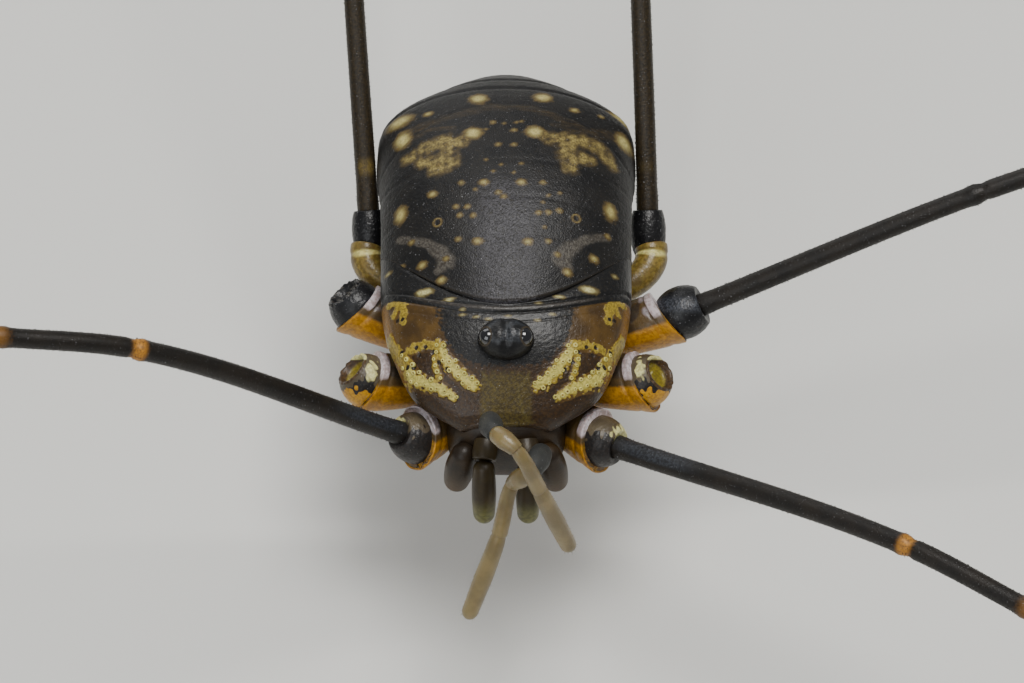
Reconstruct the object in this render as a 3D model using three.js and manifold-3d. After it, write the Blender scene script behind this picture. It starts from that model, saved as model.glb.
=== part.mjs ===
// A harvestman at life size, standing with its body held clear of the floor on five long legs.
// It has shed three legs at the trochanter, as harvestmen do, and their open sockets stay.
// Millimetres, +Z up. The animal faces -Y, so its left side is +X, and its eye mound is at x = y = 0.
import * as THREE from "three";
import { mergeVertices } from "three/addons/utils/BufferGeometryUtils.js";
import Module from "manifold-3d";

const wasm = await Module();
wasm.setup();

// Driving dimensions
const LIFT = 3.0; // floor to the undersides of the leg bases
const GAP = 0.1; // clearance between neighbouring pieces
const LIMB = 0.26; // least radius of a limb away from its tip
const SOLE = 0.2; // height of a foot's centre line where it lies on the floor
const REAR_BOW = 0.34; // sweep of the line between carapace and abdomen, per mm of half-width squared
const SIDES = { left: 1, right: -1 };

const COLOURS = {
  scutum: 0x17191d,
  carapace: 0x7a5a2a,
  mound: 0x101216,
  eye: 0x060608,
  coxa: 0x9a6418,
  trochanter: 0x55463a,
  blackTrochanter: 0x14161a,
  leg: 0x2d2620,
  palpDark: 0x2b2f33,
  palpPale: 0xa38d64,
  chelicera: 0x5d5b3c,
};

// Small vector and curve tools
const vec = (p) => new THREE.Vector3(...p);

const lifted = ([x, y, z]) => new THREE.Vector3(x, y, z + LIFT);

// The unit direction of a bearing (0 straight ahead, 90 to the leg's own side) and a rise above
// level, in degrees.
function heading(side, bearing, rise) {
  const b = THREE.MathUtils.degToRad(bearing);
  const r = THREE.MathUtils.degToRad(rise);
  return new THREE.Vector3(
    side * Math.sin(b) * Math.cos(r),
    -Math.cos(b) * Math.cos(r),
    Math.sin(r),
  );
}

const along = (from, direction, distance) =>
  from.clone().addScaledVector(direction, distance);

// A smooth function of one variable through [x, value] knots, with Catmull-Rom slopes.
function through(...knots) {
  const slope = knots.map((k, i) => {
    const a = knots[Math.max(i - 1, 0)];
    const b = knots[Math.min(i + 1, knots.length - 1)];
    return (b[1] - a[1]) / (b[0] - a[0]);
  });
  return (x) => {
    let i = knots.findIndex((k) => k[0] > x) - 1;
    if (x <= knots[0][0]) i = 0;
    if (x >= knots[knots.length - 1][0]) i = knots.length - 2;
    const [x0, y0] = knots[i];
    const [x1, y1] = knots[i + 1];
    const h = x1 - x0;
    const t = THREE.MathUtils.clamp((x - x0) / h, 0, 1);
    const s = t * t * (3 - 2 * t);
    return (
      y0 + (y1 - y0) * s + h * t * (1 - t) * (slope[i] * (1 - t) - slope[i + 1] * t)
    );
  };
}

// Solids
function solid(geometry) {
  const bare = geometry.index ? geometry.toNonIndexed() : geometry.clone();
  bare.deleteAttribute("normal");
  bare.deleteAttribute("uv");
  const merged = mergeVertices(bare, 1e-4);
  const make = (triVerts) =>
    new wasm.Manifold(
      new wasm.Mesh({
        numProp: 3,
        vertProperties: merged.attributes.position.array,
        triVerts,
      }),
    );
  const faces = new Uint32Array(merged.index.array);
  const made = make(faces);
  if (made.volume() > 0) return made;
  for (let i = 0; i < faces.length; i += 3)
    [faces[i + 1], faces[i + 2]] = [faces[i + 2], faces[i + 1]];
  return make(faces);
}

const cut = (body, ...tools) => tools.reduce((b, t) => b.subtract(t), body);

const largest = (body) =>
  body.decompose().reduce((a, b) => (b.volume() > a.volume() ? b : a));

// The closed surface through rings of equally many points, with a fan over each end.
function skinned(rings) {
  const count = rings[0].length;
  const points = rings.flat();
  const faces = [];
  for (let r = 0; r + 1 < rings.length; r++)
    for (let i = 0; i < count; i++) {
      const a = r * count + i;
      const b = r * count + ((i + 1) % count);
      faces.push(a, b, b + count, a, b + count, a + count);
    }
  for (const r of [0, rings.length - 1]) {
    const middle = rings[r]
      .reduce((sum, p) => sum.add(p), new THREE.Vector3())
      .divideScalar(count);
    points.push(middle);
    for (let i = 0; i < count; i++) {
      const edge = [r * count + i, r * count + ((i + 1) % count)];
      if (r === 0) edge.reverse();
      faces.push(...edge, points.length - 1);
    }
  }
  const geometry = new THREE.BufferGeometry().setFromPoints(points);
  geometry.setIndex(faces);
  return solid(geometry);
}

// A limb: a tube along a curve, whose radius at t from 0 to 1 is a function of t.
function limb(curve, radius, { steps = 6, sides = 8, grow = 0 } = {}) {
  const frames = curve.computeFrenetFrames(steps, false);
  const rings = [];
  for (let s = 0; s <= steps; s++) {
    const centre = curve.getPointAt(s / steps);
    const r = radius(s / steps) + grow;
    const ring = [];
    for (let i = 0; i < sides; i++) {
      const a = (2 * Math.PI * i) / sides;
      ring.push(
        centre
          .clone()
          .addScaledVector(frames.normals[s], r * Math.cos(a))
          .addScaledVector(frames.binormals[s], r * Math.sin(a)),
      );
    }
    rings.push(ring);
  }
  return skinned(rings);
}

// A ball with three radii, its first axis turned to a direction.
function ball(centre, radii, direction = new THREE.Vector3(1, 0, 0), grow = 0) {
  const geometry = new THREE.SphereGeometry(1, 12, 8);
  geometry.scale(...radii.map((r) => r + grow));
  geometry.applyQuaternion(
    new THREE.Quaternion().setFromUnitVectors(
      new THREE.Vector3(1, 0, 0),
      direction.clone().normalize(),
    ),
  );
  geometry.translate(centre.x, centre.y, centre.z);
  return solid(geometry);
}

// Everything beyond a flat face at a point, out along a direction.
function beyond(point, direction, reach = 6) {
  const geometry = new THREE.BoxGeometry(reach, reach, reach);
  geometry.translate(0, 0, reach / 2);
  geometry.applyQuaternion(
    new THREE.Quaternion().setFromUnitVectors(
      new THREE.Vector3(0, 0, 1),
      direction.clone().normalize(),
    ),
  );
  geometry.translate(point.x, point.y, point.z);
  return solid(geometry);
}

// A round pit: a short cone sunk into a face at a point, against a direction.
function pit(point, direction, mouth, floor, depth) {
  const geometry = new THREE.CylinderGeometry(mouth, floor, 2 * depth, 10);
  geometry.applyQuaternion(
    new THREE.Quaternion().setFromUnitVectors(
      new THREE.Vector3(0, 1, 0),
      direction.clone().normalize(),
    ),
  );
  geometry.translate(point.x, point.y, point.z);
  return solid(geometry);
}

const model = new THREE.Group();
model.name = "harvestman";

function add(name, body, colour, roughness = 0.55) {
  const m = largest(body).getMesh();
  const geometry = new THREE.BufferGeometry();
  geometry.setAttribute(
    "position",
    new THREE.BufferAttribute(new Float32Array(m.vertProperties), 3),
  );
  geometry.setIndex(new THREE.BufferAttribute(new Uint32Array(m.triVerts), 1));
  geometry.computeVertexNormals();
  const material = new THREE.MeshStandardMaterial({
    color: colour,
    roughness,
    metalness: 0,
  });
  const mesh = new THREE.Mesh(geometry, material);
  mesh.name = name;
  model.add(mesh);
}

// The trunk is drawn as rings across the body. Each ring has a half-width, a top, a widest line and
// an underside, fuller above than below, and its sides sweep back where the abdomen meets the
// carapace.
const RING_POINTS = 28;

function trunkRing(y, form, grow = 0) {
  const half = form.half(y) + grow;
  const side = form.side(y);
  const up = form.top(y) - side + grow;
  const down = side - form.under(y) + grow;
  const ring = [];
  for (let i = 0; i < RING_POINTS; i++) {
    const a = (2 * Math.PI * i) / RING_POINTS;
    const [c, s] = [Math.cos(a), Math.sin(a)];
    const power = 2 / (s > 0 ? form.fullAbove : form.fullBelow);
    const x = half * Math.sign(c) * Math.abs(c) ** power;
    const z = side + (s > 0 ? up : -down) * Math.abs(s) ** power;
    ring.push(new THREE.Vector3(x, y + form.bow(y) * x * x, z + LIFT));
  }
  return ring;
}

// Abdomen: the domed scutum, then the free plates down to the vent. Its underside is narrow between
// the last leg bases.
const GROOVES = [4.42, 4.78, 5.1]; // between the hindmost plates
const GROOVE_DEPTH = 0.05;
const GROOVE_WIDTH = 0.05;

const abdomen = {
  fullAbove: 2.35,
  fullBelow: 1.5,
  half: through(
    [0.6, 1.97], [1.6, 2.0], [3.2, 2.04], [4.0, 2.04], [4.4, 1.98],
    [4.7, 1.74], [5.0, 1.3], [5.3, 0.84], [5.5, 0.5], [5.6, 0.25],
  ),
  top: through(
    [0.6, 2.72], [1.4, 3.0], [2.6, 3.24], [3.6, 3.2], [4.4, 2.98],
    [5.0, 2.64], [5.3, 2.38], [5.5, 2.15], [5.6, 1.95],
  ),
  side: through([0.6, 1.95], [3.6, 1.92], [4.6, 1.85], [5.6, 1.7]),
  under: through([0.6, 0.7], [1.6, 0.42], [3.2, 0.42], [4.4, 0.65], [5.0, 1.0], [5.6, 1.5]),
  bow: through([0.6, REAR_BOW], [2.6, 0.04], [5.6, 0]),
};
const ABDOMEN_STATIONS = [
  0.72, 1.05, 1.5, 2.0, 2.6, 3.2, 3.75, 4.15, 4.62, 4.95, 5.26, 5.46, 5.6,
];

function abdomenRings() {
  const stations = ABDOMEN_STATIONS.map((y) => [y, 0]);
  for (const y of GROOVES)
    stations.push([y - GROOVE_WIDTH, 0], [y, -GROOVE_DEPTH], [y + GROOVE_WIDTH, 0]);
  stations.sort((a, b) => a[0] - b[0]);
  return stations.map(([y, sunk]) => trunkRing(y, abdomen, sunk));
}

// Prosoma: the carapace with its narrow front, down to the breastplate that the leg bases close round.
const prosoma = {
  fullAbove: 2.5,
  fullBelow: 1.35,
  half: through(
    [-0.92, 0.74], [-0.7, 1.08], [-0.45, 1.4], [-0.2, 1.6], [0.0, 1.74],
    [0.15, 1.88], [0.35, 1.96], [0.6, 1.97],
  ),
  top: through([-0.92, 1.84], [-0.5, 2.14], [0.0, 2.5], [0.35, 2.66], [0.6, 2.72]),
  side: through([-0.92, 1.58], [-0.3, 1.66], [0.2, 1.8], [0.6, 1.95]),
  under: through([-0.92, 1.25], [-0.6, 0.9], [-0.2, 0.5], [0.6, 0.4]),
  bow: through([-0.92, 0.0], [-0.2, 0.02], [0.3, 0.2], [0.6, REAR_BOW]),
};
const PROSOMA_STATIONS = [-0.92, -0.84, -0.7, -0.5, -0.3, -0.1, 0.1, 0.28, 0.44, 0.62];

// The ocularium stands astride the carapace, with an eye on each flank.
const MOUND = { centre: [0, 0.09, 2.6], radii: [0.41, 0.33, 0.34] };
const EYE = { centre: [0.28, 0.04, 2.74], radius: 0.16 };

// Legs, in pairs from the front. A coxa runs from its root beside the breastplate to its hip, where
// the trochanter sits in its mouth. A trochanter has a half-length and a radius. Lengths are along
// the segments.
const PAIRS = {
  1: {
    root: [0.4, 0.22, 0.62],
    hip: [1.4, -0.64, 0.95],
    mouth: 0.56,
    trochanter: [0.47, 0.42],
    lengths: { base: 5.1, femur: 7.4, patella: 1.0, tibia: 5.6, metatarsus: 8.4, tarsus: 9.5 },
  },
  2: { root: [0.5, 0.6, 0.62], hip: [2.15, 0.28, 1.15], mouth: 0.56, trochanter: [0.49, 0.44] },
  3: {
    root: [0.55, 1.08, 0.62],
    hip: [2.32, 1.64, 1.2],
    mouth: 0.54,
    trochanter: [0.5, 0.44],
    lengths: { base: 4.6, femur: 7.6, patella: 1.0, tibia: 5.4, metatarsus: 8.8, tarsus: 9.0 },
  },
  4: {
    root: [0.6, 1.62, 0.65],
    hip: [2.14, 3.05, 1.3],
    mouth: 0.42,
    trochanter: [0.5, 0.3],
    lengths: { base: 7.2, femur: 11.0, patella: 1.2, tibia: 7.4, metatarsus: 11.5, tarsus: 11.0 },
  },
};
const ROOT_RADIUS = 0.2; // of a coxa, beside the breastplate
const MOUTH_SETBACK = 0.27; // from a hip back to the mouth of its coxa
const HIP_FACE = 0.34; // from a hip's centre to its flat face, against the femur
const SOCKET = { mouth: 0.24, floor: 0.18, depth: 0.16 }; // left where a leg was shed

// The stance. A standing leg gives the bearing and rise of its femur up to the false joint and
// beyond it, of its patella and of its tibia; the metatarsus then comes down to ANKLE. A shed leg
// gives where its socket faces. A hip given here stands in for the pair's.
const ANKLE = 0.62;
const STANCE = {
  left: {
    1: {
      hip: [1.46, -0.66, 0.9],
      base: [59, 13],
      femur: [54, 6],
      patella: [56, -8],
      tibia: [58, -20],
      tarsus: [52],
    },
    2: { socket: [90, 45] },
    3: {
      hip: [2.76, 1.55, 1.22],
      base: [101.5, 22],
      femur: [101, 16],
      patella: [101, 0],
      tibia: [104, -38],
      tarsus: [112],
    },
    4: {
      hip: [2.23, 3.05, 1.3],
      base: [181.7, 35],
      femur: [177, 33],
      patella: [176, 2],
      tibia: [173, -35],
      tarsus: [166],
    },
  },
  right: {
    1: { base: [79, 40], femur: [80, 22], patella: [80, -8], tibia: [78, -40], tarsus: [70] },
    2: { socket: [110, 42] },
    3: { socket: [125, 40] },
    4: { base: [175, 36], femur: [174, 33], patella: [173, 2], tibia: [171, -35], tarsus: [164] },
  },
};

// A curve between two joints that leaves and arrives along given directions.
function span(from, to, leave, arrive, stiffness = 0.34) {
  const reach = from.distanceTo(to) * stiffness;
  return new THREE.CubicBezierCurve3(
    from,
    along(from, leave, reach),
    along(to, arrive, -reach),
    to,
  );
}

// The joints of a standing leg and the direction of travel at each.
function legJoints(side, pair, pose) {
  const { lengths } = PAIRS[pair];
  const hip = lifted([side * pose.hip[0], pose.hip[1], pose.hip[2]]);
  const out = heading(side, ...pose.base);
  const shin = heading(side, ...pose.tibia);
  const base = along(hip, out, HIP_FACE + GAP);
  const node = along(base, out, lengths.base);
  const thigh = heading(side, ...pose.femur);
  const knee = along(node, thigh, lengths.femur - lengths.base);
  const kneeEnd = along(knee, heading(side, ...pose.patella), lengths.patella);
  const ankle = along(kneeEnd, shin, lengths.tibia);
  const drop = THREE.MathUtils.radToDeg(Math.asin((ankle.z - ANKLE) / lengths.metatarsus));
  const down = heading(side, pose.tibia[0], -drop);
  const heel = along(ankle, down, lengths.metatarsus);
  return { hip, base, node, knee, kneeEnd, ankle, heel, out, thigh, shin, down };
}

// The tarsus comes down from the heel onto the floor and lies along it to its claw.
function tarsusCurve(joints, side, pose, length) {
  const flat = heading(side, pose.tarsus[0], 0);
  const touch = along(joints.heel, flat, 0.16 * length);
  touch.z = SOLE;
  const middle = along(touch, flat, 0.4 * length);
  const tip = along(touch, heading(side, pose.tarsus[0] + 8, 0), 0.84 * length);
  const start = along(joints.heel, joints.down, GAP);
  return new THREE.CatmullRomCurve3([start, touch, middle, tip], false, "centripetal");
}

const swell = (t, at, width, height) => height * Math.exp(-(((t - at) / width) ** 2));

const coxae = [];
const hips = [];
const thighs = [];

function buildLeg(sideName, pair) {
  const side = SIDES[sideName];
  const form = PAIRS[pair];
  const pose = { hip: form.hip, ...STANCE[sideName][pair] };
  const name = `${sideName}_leg_${pair}`;
  const hip = lifted([side * pose.hip[0], pose.hip[1], pose.hip[2]]);
  const root = lifted([side * form.root[0], form.root[1], form.root[2]]);
  const axis = hip.clone().sub(root).normalize();
  const mouth = along(hip, axis, -MOUTH_SETBACK);
  const coxa = (grow) =>
    limb(
      new THREE.LineCurve3(root, mouth),
      (t) => THREE.MathUtils.lerp(ROOT_RADIUS, form.mouth, t ** 0.85),
      { steps: 4, sides: 14, grow },
    );
  const faces = pose.socket ? heading(side, ...pose.socket) : heading(side, ...pose.base);
  const [half, girth] = form.trochanter;
  const knob = (grow) => ball(hip, [half, girth, girth], faces, grow);
  hips.push({ name, knob });

  // Where two coxae would cross, the one behind gives way.
  const before = coxae.filter((c) => c.side === side && c.pair < pair).map((c) => c.grown);
  coxae.push({ name, side, pair, grown: coxa(GAP), body: cut(coxa(0), ...before, knob(GAP)) });

  const seat = along(hip, faces, HIP_FACE);
  const socket = () => pit(seat, faces, SOCKET.mouth, SOCKET.floor, SOCKET.depth);
  const openings = pose.socket ? [socket()] : [];
  const isBlack = pair > 2;
  add(
    `${name}_trochanter`,
    cut(knob(0), beyond(seat, faces), ...openings),
    isBlack ? COLOURS.blackTrochanter : COLOURS.trochanter,
  );
  if (pose.socket) return;

  const j = legJoints(side, pair, pose);
  const share = form.lengths.base / form.lengths.femur;
  const turn = j.out.clone().add(j.thigh).normalize();
  const inner = span(j.base, j.node, j.out, turn).getPoints(6);
  const outer = span(j.node, j.knee, turn, j.thigh).getPoints(6);
  const thighCurve = new THREE.CatmullRomCurve3([...inner, ...outer.slice(1)]);
  const thighRadius = (t) =>
    LIMB + 0.03 * (1 - t) ** 6 + swell(t, share, 0.03, 0.04) + swell(t, 1, 0.04, 0.03);
  const thigh = (grow) => limb(thighCurve, thighRadius, { steps: 12, grow });
  thighs.push({ pair, grown: thigh(GAP) });
  add(`${name}_femur`, thigh(0), COLOURS.leg);

  // Each later length starts a gap beyond the end of the one before.
  const next = (point, direction) => along(point, direction, GAP);
  const kneeCurve = span(next(j.knee, j.thigh), j.kneeEnd, j.thigh, j.shin, 0.4);
  const kneeRadius = (t) => LIMB + 0.04 * Math.sin(Math.PI * t);
  add(`${name}_patella`, limb(kneeCurve, kneeRadius), COLOURS.leg);
  const shinCurve = span(next(j.kneeEnd, j.shin), j.ankle, j.shin, j.shin);
  const shinRadius = (t) => LIMB + swell(t, 1, 0.05, 0.03);
  add(`${name}_tibia`, limb(shinCurve, shinRadius, { steps: 5 }), COLOURS.leg);
  const lowCurve = span(next(j.ankle, j.shin), j.heel, j.shin, j.down, 0.3);
  add(`${name}_metatarsus`, limb(lowCurve, () => LIMB - 0.01, { steps: 7 }), COLOURS.leg);
  const foot = limb(
    tarsusCurve(j, side, pose, form.lengths.tarsus),
    (t) => THREE.MathUtils.lerp(LIMB - 0.01, 0.21, t) * (t > 0.97 ? 0.6 : 1),
    { steps: 14 },
  );
  const belowFloor = beyond(vec([j.heel.x, j.heel.y, 0]), vec([0, 0, -1]), 40);
  add(`${name}_tarsus`, cut(foot, belowFloor), COLOURS.leg);
}

for (const sideName of Object.keys(SIDES))
  for (const pair of [1, 2, 3, 4]) buildLeg(sideName, pair);

// Mouthparts. The chelicerae hang between the palps; the palps cross in front of the face.
const CHELICERA = {
  start: [0.3, -1.06, 1.5],
  elbow: [0.34, -1.34, 1.38],
  tip: [0.34, -1.78, 0.12],
  radius: 0.21,
};
const PALP_COXA = { top: [0.62, -1.13, 1.42], foot: [0.8, -1.2, 0.2], radius: 0.24 };
const PALP_RADIUS = 0.25;
const PALPS = {
  left: {
    start: [0.56, -1.46, 1.78],
    elbow: [0.36, -2.0, 2.02],
    wrist: [-0.1, -1.94, 1.62],
    joint: [-0.29, -2.33, 0.86],
    tip: [-0.62, -3.02, -0.55],
  },
  right: {
    start: [-0.5, -1.3, 2.05],
    elbow: [-0.2, -1.86, 2.95],
    wrist: [0.2, -2.24, 2.66],
    joint: [0.52, -2.36, 1.84],
    tip: [1.06, -2.42, 0.3],
  },
};

const mouthCuts = coxae.filter((c) => c.pair === 1).map((c) => c.grown);
const hipCuts = hips.filter((h) => h.name.endsWith("1")).map((h) => h.knob(GAP));
const carapace = skinned(PROSOMA_STATIONS.map((y) => trunkRing(y, prosoma)));
const carapaceGrown = skinned(PROSOMA_STATIONS.map((y) => trunkRing(y, prosoma, GAP)));

for (const [sideName, side] of Object.entries(SIDES)) {
  const at = (p) => lifted([side * p[0], p[1], p[2]]);
  const handLine = new THREE.LineCurve3(at(CHELICERA.elbow), at(CHELICERA.tip));
  const handRadius = (t) =>
    CHELICERA.radius * (0.8 + 0.35 * Math.sin(Math.PI * Math.min(1, t * 1.1)) - 0.35 * t ** 4);
  const hand = (grow) => limb(handLine, handRadius, { steps: 7, sides: 10, grow });
  const baseLine = new THREE.LineCurve3(at(CHELICERA.start), at(CHELICERA.elbow));
  const base = limb(baseLine, () => CHELICERA.radius, { steps: 2, sides: 12 });
  const lobeLine = new THREE.LineCurve3(at(PALP_COXA.top), at(PALP_COXA.foot));
  const lobeRadius = (t) => PALP_COXA.radius * (0.75 + 0.3 * Math.sin(Math.PI * t));
  const lobe = limb(lobeLine, lobeRadius, { steps: 5, sides: 10 });
  const lobeCuts = [hand(GAP), carapaceGrown, ...mouthCuts, ...hipCuts];
  add(`${sideName}_chelicera_base`, cut(base, hand(GAP), carapaceGrown), COLOURS.chelicera, 0.4);
  add(`${sideName}_chelicera_hand`, hand(0), COLOURS.chelicera, 0.4);
  add(`${sideName}_palp_coxa`, cut(lobe, ...lobeCuts), COLOURS.palpDark, 0.35);

  const palp = Object.fromEntries(
    Object.entries(PALPS[sideName]).map(([k, p]) => [k, lifted(p)]),
  );
  const segments = [
    ["femur", palp.start, palp.elbow, COLOURS.palpDark],
    ["patella", palp.elbow, palp.wrist, COLOURS.palpPale],
    ["tibia", palp.wrist, palp.joint, COLOURS.palpPale],
    ["tarsus", palp.joint, palp.tip, COLOURS.palpPale],
  ];
  let previous = [];
  for (const [part, from, to, colour] of segments) {
    const line = new THREE.LineCurve3(from, to);
    const shape = (t) => PALP_RADIUS * (part === "tarsus" && t > 0.9 ? 0.6 : 1);
    const tube = (grow) => limb(line, shape, { steps: 5, sides: 10, grow });
    add(`${sideName}_palp_${part}`, cut(tube(0), ...previous), colour, 0.6);
    previous = [tube(GAP)];
  }
}

// The trunk goes together last, because it gives way to the leg bases.
const coxaCuts = coxae.map((c) => c.grown);
const allHips = hips.map((h) => h.knob(GAP));
for (const c of coxae) add(`${c.name}_coxa`, c.body, COLOURS.coxa);
const rearThighs = thighs.filter((t) => t.pair === 4).map((t) => t.grown);
add("carapace", cut(carapace, ...coxaCuts, ...allHips), COLOURS.carapace, 0.5);
const abdomenCuts = [...coxaCuts, ...allHips, ...rearThighs];
add("abdomen", cut(skinned(abdomenRings()), ...abdomenCuts), COLOURS.scutum, 0.5);

const eyeCentres = Object.values(SIDES).map((side) => {
  const [x, y, z] = EYE.centre;
  return lifted([side * x, y, z]);
});
const eyeBall = (centre, grow) =>
  ball(centre, [EYE.radius, EYE.radius, EYE.radius], undefined, grow);
const mound = ball(lifted(MOUND.centre), MOUND.radii);
const eyeCuts = eyeCentres.map((c) => eyeBall(c, GAP / 2));
add("eye_mound", cut(mound, carapaceGrown, ...eyeCuts), COLOURS.mound, 0.35);
Object.keys(SIDES).forEach((sideName, i) =>
  add(`${sideName}_eye`, cut(eyeBall(eyeCentres[i], 0), carapaceGrown), COLOURS.eye, 0.1),
);

// The frame's origin is on the floor, under the middle of the whole animal.
const box = new THREE.Box3().setFromObject(model);
const middle = box.getCenter(vec([0, 0, 0]));
model.position.set(-middle.x, -middle.y, -box.min.z);

export default model;
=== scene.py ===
import bpy
import numpy as np
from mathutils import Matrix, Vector


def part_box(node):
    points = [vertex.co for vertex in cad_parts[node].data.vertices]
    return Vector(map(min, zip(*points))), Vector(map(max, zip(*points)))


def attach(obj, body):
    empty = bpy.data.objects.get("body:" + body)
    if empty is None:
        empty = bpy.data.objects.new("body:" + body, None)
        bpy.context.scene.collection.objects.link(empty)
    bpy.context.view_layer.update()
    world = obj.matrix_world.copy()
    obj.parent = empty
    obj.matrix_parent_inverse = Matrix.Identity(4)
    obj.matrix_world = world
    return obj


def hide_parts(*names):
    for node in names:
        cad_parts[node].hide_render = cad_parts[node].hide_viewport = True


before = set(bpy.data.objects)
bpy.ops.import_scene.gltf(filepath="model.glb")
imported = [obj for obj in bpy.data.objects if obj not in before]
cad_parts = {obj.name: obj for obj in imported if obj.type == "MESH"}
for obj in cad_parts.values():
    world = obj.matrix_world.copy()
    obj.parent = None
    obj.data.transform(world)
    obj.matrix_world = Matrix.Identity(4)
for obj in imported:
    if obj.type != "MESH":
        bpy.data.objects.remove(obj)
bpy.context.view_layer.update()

# The ground and the view. The animal stands on a plain pale table under three large soft lamps. It is seen
# from in front and well above, so close that its legs run out of the frame.
MM = 0.001
LIFT = 3.0  # mm, floor to the undersides of the leg bases
EYES_BEHIND_MIDDLE = 0.02  # mm, from the middle of the eye mound's foot to the eyes
PHOTO_WIDTH, PHOTO_HEIGHT = 1024, 683
PIXELS_PER_MM = 65
MOUND_PIXEL = (506, 345)  # where the foot of the eye mound shows
MOUND_FOOT = (0.0, 0.0, LIFT + 2.55)
CAMERA_RISE = np.radians(55)
CAMERA_REACH = 130.0  # mm

eye_boxes = [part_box("left_eye"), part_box("right_eye")]
eye_middle = sum((low + high for low, high in eye_boxes), Vector()) / 4
HOME = np.array([eye_middle.x / MM, eye_middle.y / MM - EYES_BEHIND_MIDDLE, 0.0])


def row(points):
    """Millimetres measured from under the eye mound, turned into metres in the row frame."""
    return (np.asarray(points, float) + HOME) * MM


SIGHT_ACROSS = np.array([1.0, 0.0, 0.0])
SIGHT_UP = np.array([0.0, np.sin(CAMERA_RISE), np.cos(CAMERA_RISE)])
SIGHT_BACK = np.array([0.0, -np.cos(CAMERA_RISE), np.sin(CAMERA_RISE)])
OFF_MIDDLE = (PHOTO_WIDTH / 2 - MOUND_PIXEL[0], MOUND_PIXEL[1] - PHOTO_HEIGHT / 2)  # pixels, across and up
SIGHT_TARGET = MOUND_FOOT + (SIGHT_ACROSS * OFF_MIDDLE[0] + SIGHT_UP * OFF_MIDDLE[1]) / PIXELS_PER_MM


def add_camera():
    """The lens makes the frame as many millimetres wide, at the mound, as the photo's scale gives."""
    camera = bpy.data.objects.new("camera", bpy.data.cameras.new("camera"))
    camera.data.lens = camera.data.sensor_width * CAMERA_REACH * PIXELS_PER_MM / PHOTO_WIDTH
    camera.data.clip_start = 0.001
    camera.data.clip_end = 10
    camera.location = row(SIGHT_TARGET + SIGHT_BACK * CAMERA_REACH)
    camera.rotation_euler = Vector(SIGHT_BACK).to_track_quat("Z", "Y").to_euler()
    bpy.context.collection.objects.link(camera)
    bpy.context.scene.camera = camera


def add_lamp(name, place, size, watts, colour):
    """A square soft lamp at a place in millimetres, turned to the animal's back."""
    lamp = bpy.data.lights.new(name, "AREA")
    lamp.size = size * MM
    lamp.energy = watts
    lamp.color = colour
    lit = bpy.data.objects.new(name, lamp)
    lit.location = row(place)
    lit.rotation_euler = (Vector(place) - Vector((0, 2, 5))).to_track_quat("Z", "Y").to_euler()
    bpy.context.collection.objects.link(lit)


add_camera()
add_lamp("lamp_over", (10, 2, 92), 40, 0.078, (1.0, 0.98, 0.95))
add_lamp("lamp_front", (-40, -70, 60), 60, 0.030, (0.94, 0.97, 1.0))
add_lamp("lamp_rear", (-30, 80, 50), 60, 0.022, (1.0, 1.0, 1.0))

world = bpy.data.worlds.new("studio")
world.use_nodes = True
world.node_tree.nodes["Background"].inputs["Color"].default_value = (0.96, 0.97, 0.97, 1.0)
world.node_tree.nodes["Background"].inputs["Strength"].default_value = 0.26
bpy.context.scene.world = world

table = bpy.data.materials.new("table")
table.use_nodes = True
table_look = table.node_tree.nodes["Principled BSDF"].inputs
table_look["Base Color"].default_value = (0.74, 0.74, 0.71, 1.0)
table_look["Roughness"].default_value = 0.85
floor_mesh = bpy.data.meshes.new("floor")
FLOOR_HALF = 0.6  # m
floor_mesh.from_pydata(
    [(x * FLOOR_HALF, y * FLOOR_HALF, 0) for x, y in ((-1, -1), (1, -1), (1, 1), (-1, 1))],
    [],
    [(0, 1, 2, 3)],
)
floor_mesh.materials.append(table)
floor = bpy.data.objects.new("floor", floor_mesh)
bpy.context.collection.objects.link(floor)


# Abdomen: the scutum is one hard shield of fused plates, black with cream spots, and behind it the free
# plates step down to the vent. It is a closed skin of rings, pebbled all over and grooved between the
# plates.
def through(*knots):
    """A smooth curve through (place, value) knots: a cubic between each two, its slope at a knot that of
    the chord between the knot's neighbours."""
    x, y = np.array(knots, float).T
    x_wide, y_wide = np.r_[x[0], x, x[-1]], np.r_[y[0], y, y[-1]]
    slope = (y_wide[2:] - y_wide[:-2]) / (x_wide[2:] - x_wide[:-2])

    def value(at):
        i = np.clip(np.searchsorted(x, at, "right") - 1, 0, len(x) - 2)
        h = x[i + 1] - x[i]
        t = np.clip((at - x[i]) / h, 0, 1)
        step = (y[i + 1] - y[i]) * t * t * (3 - 2 * t)
        return y[i] + step + h * t * (1 - t) * (slope[i] * (1 - t) - slope[i + 1] * t)

    return value


def trunk_wall(form, y, turn, inset):
    """A point of the body wall at ring y and angle turn: across and up go as the cosine and sine to the
    power 2 / fullness, scaled by the ring's half-width and its height above or below its widest line; then
    y moves back by the ring's bow times the square of x."""
    c, s = np.cos(turn), np.sin(turn)
    power = 2 / np.where(s > 0, form["full_above"], form["full_below"])
    side = form["side"](y)
    above = form["top"](y) - side - inset
    below = side - form["under"](y) - inset
    x = (form["half"](y) - inset) * np.sign(c) * np.abs(c) ** power
    z = side + np.where(s > 0, above, -below) * np.abs(s) ** power
    return np.stack([x, y + form["bow"](y) * x * x, z + LIFT], -1)


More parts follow.
